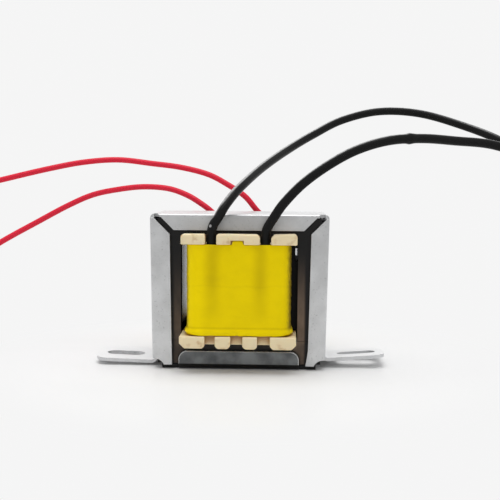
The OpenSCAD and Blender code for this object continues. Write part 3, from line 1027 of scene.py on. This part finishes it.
@dataclass(frozen=True)
class Tooth:
    """One castellated block of a flange, seen from its end of the bobbin.

    Attributes:
        left: Left side.
        right: Right side.
        root: Height at the coil.
        tip: Height of the far side.
        left_cut: Size of the cut at the tip's left corner.
        right_cut: Size of the cut at the tip's right corner.
        lean: How much higher the right side of the tip stands.
        recess: Left side, right side and height of a recess in the root.
    """

    left: float
    right: float
    root: float
    tip: float
    left_cut: float = 0.3
    right_cut: float = 0.3
    lean: float = 0.0
    recess: tuple[float, float, float] | None = None

    def outline(self) -> list[tuple[float, float]]:
        """Draws the block from its end of the bobbin.

        Returns:
            Corners in X and Z. A lower block's tip lies below its root.
        """
        up = math.copysign(1.0, self.tip - self.root)
        tip_l, tip_r = self.tip - self.lean / 2, self.tip + self.lean / 2
        roots = [(self.left, self.root), (self.right, self.root)]
        if self.recess:
            x0, x1, height = self.recess
            top = self.root + up * height
            roots[1:1] = [(x0, self.root), (x0, top), (x1, top), (x1, self.root)]
        return [
            *roots,
            (self.right, tip_r - up * self.right_cut),
            (self.right - self.right_cut, tip_r),
            (self.left + self.left_cut, tip_l),
            (self.left, tip_l - up * self.left_cut),
        ]


@dataclass
class Bobbin(Piece):
    """Moulded bobbin: a tube, two flanges and a row of blocks at each corner of the coil.

    Attributes:
        half_width: Half the flanges' width.
        tube: Half width and half depth of the tube.
        wall: Thickness of the tube's walls.
        block_y: Inner and outer distance of the blocks from the middle.
        upper: Heights of the upper flange's plate.
        lower: Heights of the lower flange's plate.
        web_z: Lower side of the web behind the open notches.
        web_back: How far the web stands back from the blocks' faces.
        web_side: How far it stands back from the flanges' sides.
        strip_half: Half the width of the upper plate beyond the core.
        strips: Left and right ends of the plate's strips between the lead notches.
        recess: Half width and height of the wall behind the recess.
        plate_reach: How far the upper plate reaches under the blocks.
        notch_y: Inner ends of the lead notches and of the upper blocks.
        edge: Radius of the edges.
        joint: How far one part of the moulding reaches into the next.
        upper_row: Blocks of the upper flange, seen from the front.
        lower_row: Blocks of the lower flange, seen from the front.
    """

    name: str = "bobbin_moulding"
    finish: Finish = Finishes.NYLON
    replaces: tuple[str, ...] = ("bobbin",)
    half_width: float = 9.78
    tube: tuple[float, float] = (4.8, 7.79)
    wall: float = 0.7
    block_y: tuple[float, float] = (7.25, 12.38)
    upper: tuple[float, float] = (21.37, 21.87)
    lower: tuple[float, float] = (4.97, 6.57)
    web_z: float = 4.97
    web_back: float = 1.3
    web_side: float = 0.3
    strip_half: float = 7.6
    strips: tuple[tuple[float, float], ...] = ((-7.6, -5.4), (-3.6, 3.6), (5.4, 7.6))
    recess: tuple[float, float] = (1.8, 1.0)
    plate_reach: float = 11.7
    notch_y: float = 10.12
    edge: float = 0.22
    joint: float = 0.1
    upper_row: tuple[Tooth, ...] = (
        Tooth(-9.48, -5.45, 21.82, 23.52, 0.3, 0.25),
        Tooth(-3.6, 3.6, 21.82, 23.54, 0.25, 0.45, -0.06, (-1.24, 0.93, 0.7)),
        Tooth(5.45, 9.76, 21.82, 23.57, 0.5, 0.35, 0.08),
    )
    lower_row: tuple[Tooth, ...] = (
        Tooth(-9.75, -5.5, 6.52, 4.47, 0.85, 0.4),
        Tooth(-3.8, -1.2, 6.52, 4.44, 0.45, 0.5),
        Tooth(0.8, 3.25, 6.52, 4.42, 0.45, 0.4),
        Tooth(5.35, 9.72, 6.52, 4.39, 0.55, 0.75),
    )

    def mesh(self) -> bpy.types.Mesh:
        """Puts the moulding together from overlapping solids.

        Returns:
            One mesh with rounded edges.
        """
        kit = SolidKit()
        self.add_tube(kit)
        self.add_plates(kit)
        for row, y0 in ((self.upper_row, self.notch_y), (self.lower_row, self.block_y[0])):
            for tooth in row:
                mirrored = [(-x, z) for x, z in tooth.outline()][::-1]
                kit.prism(tooth.outline(), -self.block_y[1], -y0)
                kit.prism(mirrored, y0, self.block_y[1])
        return kit.finish(self.name, self.edge)

    def add_tube(self, kit: SolidKit) -> None:
        """Adds four walls round the centre limb.

        Args:
            kit: Kit that takes the walls.
        """
        w, d = self.tube
        z0, z1 = self.lower[0] + 0.05, self.upper[1] - 0.05
        for s in (-1, 1):
            xs = sorted((s * w, s * (w - self.wall)))
            ys = sorted((s * d, s * (d - self.wall)))
            kit.box((xs[0], -d, z0), (xs[1], d, z1))
            kit.box((-w, ys[0], z0), (w, ys[1], z1))

    def add_plates(self, kit: SolidKit) -> None:
        """Adds the flange plates, left and right of the limb and out to the blocks.

        Args:
            kit: Kit that takes the plates.
        """
        w, d = self.tube
        d -= self.wall - self.joint
        low, high, base = self.lower, self.upper, self.upper[0]
        for s in (-1, 1):
            xs = sorted((s * (w - self.joint), s * self.half_width))
            for z0, z1 in (low, high):
                kit.box((xs[0], -self.block_y[0], z0), (xs[1], self.block_y[0], z1))
            ys = sorted((s * d, s * (self.notch_y + self.joint)))
            kit.box((-self.strip_half, ys[0], base), (self.strip_half, ys[1], high[1]))
            ys = sorted((s * d, s * (self.block_y[1] - self.web_back)))
            half = self.half_width - self.web_side
            kit.box((-half, ys[0], self.web_z), (half, ys[1], low[1]))
            ys = sorted((s * self.notch_y, s * self.plate_reach))
            for x0, x1 in self.strips:
                kit.box((x0, ys[0], base), (x1, ys[1], high[1]))
            half, height = self.recess
            kit.box((-half, ys[0], base + self.joint), (half, ys[1], high[1] + height))


# ---- tape ----------------------------------------------------------------------------------


@dataclass
class TapeWrap(Piece):
    """Film tape wound round the coil, with a flared lower edge and the joints' ridges.

    Attributes:
        half_width: Half the width over the tape.
        half_depth: Half the depth over the tape.
        offset: How far the coil sits to the right of the limb's middle.
        corner: Corner radius in plan.
        bottom: Height of the lower edge.
        bottom_wave: Unevenness of the lower edge.
        bottom_x: How the lower edge rises towards the sides.
        nick: Nick in the lower edge where the turns start, along X.
        top: Height of the upper edge at the front and back.
        top_wave: Unevenness of the upper edge.
        under: Height of the upper edge below the flange, at the sides.
        over_y: How it passes on to the flange, by distance from the front or back.
        over_corner: How it does at the corners, by distance from the middle in Y and X.
        tab: Left end, right end and height of the tape's tab in the flange's recess.
        tab_slope: Width of the tab's sloping sides.
        skirt: How far the lower edge flares out.
        skirt_z: Share of the flare, by height above the lower edge.
        skirt_x: Share of the flare at the front and back, by distance from the middle.
        skirt_wave: Unevenness of the flare.
        joints: Ridges over the joints under the tape, along X.
        joints_z: How the ridges grow with height.
        joint_shade: Half width and strength of the darker ground over a joint.
        joint_shade_z: How that grows with height.
        lap_z: Height at which the upper turn laps over the lower one.
        lap_wave: Unevenness of the lap.
        lap_step: How far the upper turn stands out, by height above the lap.
        lap_shade: Darker line along the lap, by height above it.
        fold_shade: Darker line where the flare begins, by height above the lower edge.
        right_shade: Painted shade that grows towards the right, along X.
        slack: Unevenness of the film, which is a little slack.
        creases: Short creases above the lower edge.
        creases_z: Share of the creases, by height above the lower edge.
        crinkle: Fine unevenness.
        fray: Unevenness of the right edge of the wrap, which is frayed.
        wedge: Half the width of the wedge on the right, and the gap it leaves the film.
        thickness: Thickness of the film's edge.
        around: Steps round the coil.
        rows: Steps from the lower to the upper edge.
    """

    name: str = "coil_tape"
    finish: Finish = Finishes.TAPE
    replaces: tuple[str, ...] = ("outer_tape",)
    half_width: float = 8.72
    half_depth: float = 11.96
    offset: float = 0.08
    corner: float = 1.8
    bottom: float = 6.62
    bottom_wave: Wave = Wave(0.1, (0.45, 0.45, 0.0), (0.0, 0.0, 7.0))
    bottom_x: Fade = Fade(6.3, 9.0, 0.0, 0.55)
    nick: Hump = Hump(-0.2, 0.35, 0.16)
    top: float = 21.81
    top_wave: Wave = Wave(0.05, (0.8, 0.2, 0.0), (0.0, 0.0, 3.0))
    under: float = 21.34
    over_y: Fade = Fade(0.5, 0.15)
    over_corner: tuple[Fade, Fade] = (Fade(7.4, 7.7), Fade(7.7, 8.0))
    tab: tuple[float, float, float] = (-1.15, 0.85, 0.62)
    tab_slope: float = 0.12
    skirt: float = 0.5
    skirt_z: Fade = Fade(1.5, 0.5)
    skirt_x: Fade = Fade(5.0, 8.5, 0.5, 1.0)
    skirt_wave: Wave = Wave(0.5, (0.4, 0.4, 0.0))
    joints: tuple[Hump, ...] = (Hump(-4.35, 1.5, 0.1), Hump(3.65, 1.5, 0.1))
    joints_z: Fade = Fade(9.0, 15.0)
    joint_shade: tuple[float, float] = (1.9, 0.4)
    joint_shade_z: Fade = Fade(7.0, 17.0)
    lap_z: float = 14.9
    lap_wave: Wave = Wave(0.4, (0.3, 0.3, 0.0), (0.0, 0.0, 1.0))
    lap_step: Fade = Fade(-0.05, 0.05, 0.0, 0.03)
    lap_shade: Hump = Hump(0.0, 0.25, 0.07)
    fold_shade: Hump = Hump(1.25, 0.3, 0.35)
    right_shade: tuple[Fade, ...] = (Fade(-7.0, -4.8, 0.0, 0.16), Fade(7.1, 8.7, 0.0, 0.35))
    slack: Wave = Wave(0.06, (0.25, 0.25, 0.45))
    creases: Wave = Wave(0.045, (1.6, 1.6, 0.4))
    creases_z: Fade = Fade(4.5, 0.5)
    crinkle: Wave = Wave(0.014, (1.3, 1.3, 1.1))
    fray: tuple[Wave, ...] = (
        Wave(0.14, (0.0, 0.6, 0.7), (2.0, 0.0, 0.0)),
        Wave(0.084, (0.0, 0.9, 2.2), (5.0, 0.0, 0.0)),
    )
    wedge: tuple[float, float] = (6.5, 0.04)
    thickness: float = 0.05
    around: int = 360
    rows: int = 96

    def mesh(self) -> bpy.types.Mesh:
        """Builds the wrap as a closed sleeve.

        Returns:
            The mesh, with an outer and an inner side and how dark it is painted, for the
            leads under it and for shade.
        """
        outer, inner, ground_and_shade = [], [], []
        for k in range(self.rows + 1):
            t = k / self.rows
            for p, n in self.plan():
                low, high = self.lower_edge(p), self.upper_edge(p)
                z = low + t * (high - low)
                place = p + n * self.relief(p, n, z)
                outer.append(Vector((place.x + self.offset, place.y, z)) * MM)
                place = p - n * self.thickness
                hidden = self.bottom + t * (high - self.bottom)
                inner.append(Vector((place.x + self.offset, place.y, hidden)) * MM)
                ground_and_shade.append(self.darkness(p, z))
        faces, ring, shift = [], self.around, len(outer)
        last = self.rows * ring
        for i in range(ring):
            j = (i + 1) % ring
            for row in range(0, last, ring):
                a, b, c, d = row + i, row + j, row + ring + j, row + ring + i
                faces.append((a, b, c, d))
                faces.append((a + shift, d + shift, c + shift, b + shift))
            faces.append((j, i, i + shift, j + shift))
            faces.append((last + i, last + j, last + j + shift, last + i + shift))
        made = bpy.data.meshes.new(self.name)
        made.from_pydata(outer + inner, [], faces)
        made.polygons.foreach_set("use_smooth", [True] * len(made.polygons))
        layer = made.attributes.new(self.finish.attribute, "FLOAT", "POINT")
        layer.data.foreach_set("value", ground_and_shade + ground_and_shade)
        return made

    def plan(self) -> Iterable[tuple[Vector, Vector]]:
        """Walks round the coil in plan.

        Yields:
            A point of the round rectangle and the outward direction there.
        """
        w, d, r = self.half_width - self.corner, self.half_depth - self.corner, self.corner
        quarter = math.pi * r / 2
        sides = [2 * w, 2 * d] * 2
        total = sum(sides) + 4 * quarter
        starts = [(-w, -d - r, 0.0), (w + r, -d, 90.0), (w, d + r, 180.0), (-w - r, d, 270.0)]
        for i in range(self.around):
            rest = total * i / self.around
            for (x, y, turn), side in zip(starts, sides):
                turn = math.radians(turn)
                along = Vector((math.cos(turn), math.sin(turn), 0))
                out = Vector((along.y, -along.x, 0))
                if rest <= side:
                    yield Vector((x, y, 0)) + along * rest, out
                    break
                rest -= side
                if rest <= quarter:
                    centre = Vector((x, y, 0)) + along * side - out * r
                    turn += rest / r
                    out = Vector((math.sin(turn), -math.cos(turn), 0))
                    yield centre + out * r, out
                    break
                rest -= quarter

    def upper_edge(self, p: Vector) -> float:
        """Finds the upper edge, which laps over the flange at the front and back.

        Args:
            p: Point in plan.

        Returns:
            Its height, with the tab in the middle of the front.
        """
        at_corner = math.prod(
            fade.at(abs(c)) for fade, c in zip(self.over_corner, (p.y, p.x))
        )
        over = max(self.over_y.at(self.half_depth - abs(p.y)), at_corner)
        left, right, tab = self.tab
        tab *= Fade(left, left + self.tab_slope).at(p.x)
        tab *= Fade(right, right - self.tab_slope).at(p.x)
        if p.y > 0:
            tab = 0.0
        return self.under + over * (self.top + self.top_wave.at(p) - self.under + tab)

    def lower_edge(self, p: Vector) -> float:
        """Finds the lower edge, which is uneven and rises towards the sides.

        Args:
            p: Point in plan.

        Returns:
            Its height, with a small nick where the turns start.
        """
        nick = self.nick.at(p.x) if p.y < 0 else 0.0
        return self.bottom + abs(self.bottom_wave.at(p)) + nick + self.bottom_x.at(abs(p.x))

    def lap(self, p: Vector) -> float:
        """Height at which the upper turn laps over the lower one."""
        return self.lap_z + self.lap_wave.at(p)

    def relief(self, p: Vector, n: Vector, z: float) -> float:
        """Lifts the film off the plain round rectangle.

        Args:
            p: Point in plan.
            n: Outward direction there.
            z: Height.

        Returns:
            How far the film stands out.
        """
        place = Vector((p.x, p.y, z))
        facing, rise = abs(n.y), z - self.bottom
        lift = facing * sum(ridge.at(p.x) for ridge in self.joints) * self.joints_z.at(z)
        lift += self.lap_step.at(z - self.lap(p))
        # the lower edge stands off the coil, most of all at the corners
        flare = self.skirt_z.at(rise) * (1 - facing * (1 - self.skirt_x.at(abs(p.x))))
        lift += self.skirt * flare * (0.75 + self.skirt_wave.at(p))
        lift += self.slack.at(place) + self.crinkle.at(place)
        lift += self.creases.at(place) * self.creases_z.at(rise)
        if n.x > 0.5:
            lift += sum(wave.at(place) for wave in self.fray)
        reach, gap = self.wedge
        if n.x > 0.9 and abs(p.y) < reach:
            lift = min(lift, gap)
        # never far into the coil
        return max(lift, -0.01)

    def darkness(self, p: Vector, z: float) -> float:
        """Tells how dark the film is painted at a point.

        Args:
            p: Point in plan.
            z: Height.

        Returns:
            A share from 0 to 1: high over the joints, where dark leads lie under the film,
                and with painted shade along the lap, the lower edge's fold and the right
                side.
        """
        # painted shade along the lap and along the fold above the flared lower edge
        dark = self.lap_shade.at(z - self.lap(p)) + self.fold_shade.at(z - self.bottom)
        if abs(p.y) > self.half_depth - self.corner:
            width, strength = self.joint_shade
            for ridge in self.joints:
                over = Hump(ridge.centre, width, strength)
                dark += over.at(p.x) * self.joint_shade_z.at(z)
            # painted shade that grows towards the right
            if p.y < 0:
                dark += sum(fade.at(p.x) for fade in self.right_shade)
        return dark


# ---- leads ---------------------------------------------------------------------------------


@dataclass
class Lead:
    """One flying lead: insulation along a route, and tinned strands at its far end.

    Attributes:
        name: Name of the CAD node.
        tip: Name of the tip's CAD node.
        finish: Finish of the insulation.
        diameter: Over the insulation.
        route: Points of the centreline.
        steps: Steps between two points of the route.
        tip_length: Length of the bared end.
        tip_ratio: Diameter over the strands as a share of the insulation's.
        lump: Small lump in the insulation, along X, if it has one.
    """

    name: str
    tip: str
    finish: Finish
    diameter: float
    route: tuple[Point, ...]
    steps: int = 10
    tip_length: float = 6.0
    tip_ratio: float = 0.55
    lump: Hump | None = None

    def centreline(self) -> list[Vector]:
        """Draws a smooth line through the route.

        Returns:
            Points of the line, none of them below where the lead lies on the table.
        """
        pts = [Vector(p) for p in self.route]
        pts = [2 * pts[0] - pts[1], *pts, 2 * pts[-1] - pts[-2]]
        line: list[Vector] = []
        for a, b, c, d in zip(pts, pts[1:], pts[2:], pts[3:]):
            for k in range(self.steps):
                t = k / self.steps
                line.append(
                    0.5
                    * (
                        2 * b
                        + (c - a) * t
                        + (2 * a - 5 * b + 4 * c - d) * t * t
                        + (3 * b - a - 3 * c + d) * t * t * t
                    )
                )
        line.append(pts[-2])
        for point in line:
            point.z = max(point.z, self.diameter / 2 + 0.02)
        return line

    def build(self) -> bpy.types.Object:
        """Returns:
            The insulation's object.
        """
        line = self.centreline()
        curve = bpy.data.curves.new(self.name + "_insulation", "CURVE")
        curve.dimensions = "3D"
        curve.bevel_depth = self.diameter / 2 * MM
        curve.bevel_resolution = 6
        curve.use_fill_caps = True
        spline = curve.splines.new("POLY")
        spline.points.add(len(line) - 1)
        for point, place in zip(spline.points, line):
            point.co = (*(place * MM), 1.0)
            if self.lump:
                point.radius = 1 + self.lump.at(place.x)
        spline.use_smooth = True
        made = placed(curve.name, curve)
        curve.materials.append(self.finish.material())
        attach(made, BODY)
        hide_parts(self.name)
        strands = TinnedTip(self).build()
        length = sum((b - a).length for a, b in zip(line, line[1:]))
        log.info("%s: %.1f mm", self.name, length)
        return made


@dataclass
class TinnedTip(Piece):
    """Twisted, tinned strands that stand out of a lead's far end.

    Attributes:
        lead: The lead that the strands belong to.
        strands: Strands that are twisted round the middle one.
        turns: Turns that they make.
        finish: Finish of all the strands.
    """

    lead: Lead
    strands: int = 6
    turns: float = 1.2
    finish: Finish = Finishes.TIN

    def __post_init__(self) -> None:
        """Takes the names from the lead."""
        self.name = self.lead.tip + "_strands"
        self.replaces = (self.lead.tip,)

    def mesh(self) -> bpy.types.Mesh:
        """Lays the strands along the lead's last run.

        Returns:
            The strands, baked from their node group.
        """
        raw = bpy.data.meshes.new(self.name)
        radius = self.lead.diameter * self.lead.tip_ratio / 2 * MM
        group = self.strand_group(radius, self.lead.tip_length * MM)
        baked = with_modifier(raw, "NODES", group)
        end, before = Vector(self.lead.route[-1]), Vector(self.lead.route[-2])
        turn = (end - before).to_track_quat("Z", "Y").to_matrix().to_4x4()
        baked.transform(Matrix.Translation(end * MM) @ turn)
        return baked

    def strand_group(self, radius: float, length: float) -> bpy.types.NodeTree:
        """Builds the geometry nodes for the middle strand and those round it.

        Args:
            radius: Radius over all strands.
            length: Length of the bared end.

        Returns:
            The node group.
        """
        group = bpy.data.node_groups.new(self.name + "_twist", "GeometryNodeTree")
        face = group.interface
        face.new_socket("Geometry", in_out="OUTPUT", socket_type="NodeSocketGeometry")
        for label, value in (("Radius", radius), ("Length", length), ("Turns", self.turns)):
            made = face.new_socket(label, in_out="INPUT", socket_type="NodeSocketFloat")
            made.default_value = value
        tree = NodeTree(group)
        given = tree.add("NodeGroupInput").outputs
        third = tree.share(given["Radius"], 1 / 3)
        lay = tree.share(third, 2.0)
        spiral = tree.add(
            "GeometryNodeCurveSpiral",
            {
                "Resolution": 24,
                "Rotations": given["Turns"],
                "Start Radius": lay,
                "End Radius": lay,
                "Height": given["Length"],
            },
        )
        top = tree.add("ShaderNodeCombineXYZ", {"Z": given["Length"]})
        straight = tree.add("GeometryNodeCurvePrimitiveLine", {"End": top})
        section = tree.add(
            "GeometryNodeCurvePrimitiveCircle", {"Resolution": 8, "Radius": third}
        )
        twisted, middle = (
            tree.add(
                "GeometryNodeCurveToMesh",
                {"Curve": line, "Profile Curve": section, "Fill Caps": True},
            )
            for line in (spiral, straight)
        )
        angle = tree.share(tree.add("GeometryNodeInputIndex"), math.tau / self.strands)
        copies = tree.add(
            "GeometryNodeInstanceOnPoints",
            {
                "Points": tree.add("GeometryNodePoints", {"Count": self.strands}),
                "Instance": twisted,
                "Rotation": tree.add("ShaderNodeCombineXYZ", {"Z": angle}),
            },
        )
        joined = tree.add("GeometryNodeJoinGeometry", {0: [middle, copies]})
        real = tree.add("GeometryNodeRealizeInstances", {0: joined})
        skinned = tree.add(
            "GeometryNodeSetMaterial",
            {"Geometry": real, "Material": self.finish.material()},
        )
        tree.add("NodeGroupOutput", {0: skinned})
        return group


BLACK_LEFT = Lead(
    "black_lead_left",
    "black_tip_left",
    Finishes.BLACK_PVC,
    1.6,
    (
        (-4.5, -10.96, 21.42), (-4.5, -11, 23.4), (-4.2, -11.2, 24.9), (-3.3, -10.8, 26.4),
        (-2.1, -9.3, 28.5), (0, -5.1, 31.2), (3.8, 4.4, 34.9), (8.7, 14.4, 38.6),
        (13.6, 20.9, 41.7), (19.4, 25.7, 44.8), (27, 28.4, 46.8), (35, 27.9, 46.5),
        (42.5, 23.9, 44.1), (50, 16.9, 40.2), (57, 11.9, 34.4), (63, 9.4, 27.3),
        (68, 8.4, 19.3), (72, 8.5, 10.6), (76, 8.5, 4), (81, 9, 0.8), (87, 9.5, 0.8),
    ),
)  # fmt: skip
BLACK_RIGHT = Lead(
    "black_lead_right",
    "black_tip_right",
    Finishes.BLACK_PVC,
    1.6,
    (
        (4.5, -10.96, 21.42), (4.5, -11, 23.4), (4.9, -11.5, 24.8), (6, -12, 26.6),
        (7.6, -12.4, 28.9), (10.6, -12.3, 32), (14.7, -11.7, 35), (19.3, -11.1, 37.5),
        (24.6, -10.1, 39.1), (30.5, -7.3, 39.6), (36.6, -3.9, 39.4), (43.6, -1.1, 38.9),
        (50, -0.1, 36.9), (56, -1.1, 32.8), (61, -3.1, 26.9), (65, -5.1, 19.7),
        (68, -6.5, 11.8), (71, -8, 4.8), (75.5, -9.5, 0.8), (82, -11, 0.8), (89, -12, 0.8),
    ),
    lump=Hump(28.2, 0.9, 0.22),
)  # fmt: skip
RED_LEFT = Lead(
    "red_lead_left",
    "red_tip_left",
    Finishes.RED_PVC,
    1.1,
    (
        (-4.5, 11.21, 21.42), (-4.5, 11.2, 23.3), (-5, 11.1, 25.1), (-6.3, 10.9, 26.5),
        (-8.2, 11.2, 27.9), (-11, 11.8, 29.5), (-14.7, 12.6, 30.7), (-19.5, 13.6, 31),
        (-24.3, 14.1, 30.5), (-29.5, 14.1, 29.4), (-34.3, 13.5, 27.3), (-40.3, 12.6, 24),
        (-46.9, 11.1, 20.2), (-53.5, 8.6, 15.7), (-59.5, 5.5, 10.7), (-65, 2.5, 5.9),
        (-70.5, -0.5, 2.2), (-76.5, -3, 0.6), (-83, -5, 0.6), (-90, -6.5, 0.6),
    ),
)  # fmt: skip
RED_RIGHT = Lead(
    "red_lead_right",
    "red_tip_right",
    Finishes.RED_PVC,
    1.1,
    (
        (4.5, 11.21, 21.42), (4.5, 11.2, 23.3), (3.8, 11.1, 25.2), (2.3, 10.8, 26.9),
        (0.1, 11.4, 29.4), (-3.3, 12.4, 31.6), (-7.1, 13.1, 33.5), (-12.4, 13.9, 34.8),
        (-18, 14.5, 35.5), (-24.8, 15.1, 36.2), (-31.4, 14.6, 35.7), (-38, 13.7, 34.4),
        (-46, 12.3, 32.4), (-54, 12.1, 30.3), (-61.5, 13.1, 26.3), (-67.5, 15.1, 20.3),
        (-72, 17.6, 13.2), (-76, 20, 6.3), (-80.5, 22, 1.6), (-86, 23.5, 0.6),
        (-92, 24.5, 0.6),
    ),
)  # fmt: skip


# ---- CAD pieces ----------------------------------------------------------------------------


@dataclass
class CadPieces:
    """CAD nodes that are shown as they are.

    Attributes:
        finishes: Each finish with the CAD nodes that have it.
    """

    finishes: tuple[tuple[Finish, tuple[str, ...]], ...] = (
        (Finishes.GALVANISED, ("channel_frame",)),
        (Finishes.BASE, ("base_channel",)),
        (
            Finishes.LAMINATION,
            (
                "front_e_lamination",
                "front_i_lamination",
                "back_e_lamination",
                "back_i_lamination",
                "inner_e_legs_down",
                "inner_i_bottom",
                "inner_e_legs_up",
                "inner_i_top",
            ),
        ),
        (Finishes.ENAMEL, ("primary_winding", "secondary_winding")),
        (Finishes.TAPE, ("primary_wrap",)),
        (Finishes.SLEEVE, ("secondary_splices", "primary_splices")),
        (Finishes.DARK_WEDGE, ("coil_wedge",)),
    )

    def build(self) -> None:
        """Gives each CAD node its finish."""
        for finish, names in self.finishes:
            for name in names:
                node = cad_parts[name]
                node.data.materials.clear()
                node.data.materials.append(finish.material())
                log.info("%s: %s", name, finish.name)


# ---- stage ---------------------------------------------------------------------------------


@dataclass(frozen=True)
class SoftBox:
    """A square area lamp that looks at the object.

    Attributes:
        name: Name of the lamp.
        side: Direction from the object in which it stands.
        distance: Distance from the object in metres.
        size: Edge of the square in metres.
        power: Power in watts.
    """

    name: str
    side: Point
    distance: float
    size: float
    power: float

    def build(self) -> bpy.types.Object:
        """Makes the lamp.

        Returns:
            The lamp's object.
        """
        lamp = bpy.data.lights.new(self.name, "AREA")
        lamp.size = self.size
        lamp.energy = self.power
        made = placed(self.name, lamp)
        out = Vector(self.side).normalized()
        made.location = out * self.distance
        made.rotation_euler = out.to_track_quat("Z", "Y").to_euler()
        return made


@dataclass
class Studio:
    """White sweep, a soft lamp and the room's own light. Lengths are in metres.

    Attributes:
        room: Linear brightness of the room, seen by everything but the camera.
        white: Linear brightness of what the camera sees past the sweep.
        lamp: The lamp above the table.
        half_width: Half the sweep's width.
        front: Where the table begins, along Y.
        back: Where the backdrop stands, along Y.
        rise: Height of the backdrop.
        bend: Radius of the bend between the table and the backdrop.
        steps: Steps over the bend.
        sink: How far the table lies below the object's feet.
    """

    room: float = 0.9
    white: float = 0.915
    lamp: SoftBox = SoftBox("softbox_above", (0.0, -0.1, 1.0), 0.7, 0.5, 2.8)
    half_width: float = 1.2
    front: float = -0.45
    back: float = 0.75
    rise: float = 1.0
    bend: float = 0.35
    steps: int = 16
    sink: float = 0.02 * MM

    def build(self) -> None:
        """Makes the stage."""
        self.lamp.build()
        self.build_sweep()
        self.build_world()

    def build_sweep(self) -> None:
        """Makes the table, which curves up into the backdrop."""
        line = [(self.front, 0.0)]
        for k in range(self.steps + 1):
            turn = math.pi / 2 * k / self.steps
            y = self.back - self.bend * (1 - math.sin(turn))
            line.append((y, self.bend * (1 - math.cos(turn))))
        line.append((self.back, self.rise))
        verts = [(x, y, z) for y, z in line for x in (-self.half_width, self.half_width)]
        faces = [(2 * k, 2 * k + 1, 2 * k + 3, 2 * k + 2) for k in range(len(line) - 1)]
        made = bpy.data.meshes.new("sweep")
        made.from_pydata(verts, [], faces)
        made.polygons.foreach_set("use_smooth", [True] * len(made.polygons))
        made.materials.append(Finishes.SWEEP.material())
        sweep = placed("sweep", made)
        sweep.location.z = -self.sink

    def build_world(self) -> None:
        """Makes an even white for the camera and a softer light for everything else."""
        world = bpy.data.worlds.new("studio")
        world.use_nodes = True
        world.node_tree.nodes.clear()
        tree = NodeTree(world.node_tree)
        place = tree.add("ShaderNodeTexCoord").outputs["Generated"]
        parts = tree.add("ShaderNodeSeparateXYZ", {0: place}).outputs
        # the room behind the camera is darker than the sweep's side
        room = tree.share(self.room, (Fade(-0.6, 0.3, 0.7, 1.0), parts["Y"]))
        value = tree.add(
            "ShaderNodeMix", {0: tree.seen_rays(), 2: room, 3: self.white}, data_type="FLOAT"
        )
        light = tree.add("ShaderNodeBackground", {"Color": value})
        tree.add("ShaderNodeOutputWorld", {0: light})
        bpy.context.scene.world = world


@dataclass(frozen=True)
class CameraRig:
    """The camera and where it looks.

    Attributes:
        place: Position in millimetres.
        turn: Turn to the left in degrees.
        pitch: Downward pitch in degrees.
        roll: Roll in degrees.
        field: Angle of view in degrees.
        clip: Nearest and farthest distance shown, in metres.
    """

    place: Point = (6.61, -152.97, 32.59)
    turn: float = 1.92
    pitch: float = 4.7
    roll: float = -0.42
    field: float = 32.43
    clip: tuple[float, float] = (0.005, 10.0)

    def build(self) -> bpy.types.Object:
        """Makes the scene's camera.

        Returns:
            The camera's object.
        """
        data = bpy.data.cameras.new("camera")
        data.angle = math.radians(self.field)
        data.clip_start, data.clip_end = self.clip
        made = placed("camera", data)
        made.location = Vector(self.place) * MM
        made.rotation_mode = "XYZ"
        made.rotation_euler = (
            math.radians(90 - self.pitch),
            math.radians(self.roll),
            math.radians(self.turn),
        )
        bpy.context.scene.camera = made
        return made


def main() -> None:
    """Builds the whole scene."""
    logging.basicConfig(level=logging.INFO, format="%(message)s")
    bpy.context.scene.view_settings.view_transform = "Standard"
    CameraRig().build()
    Studio().build()
    CadPieces().build()
    Bobbin().build()
    TapeWrap().build()
    for lead in (BLACK_LEFT, BLACK_RIGHT, RED_LEFT, RED_RIGHT):
        lead.build()


if __name__ == "__main__":
    main()
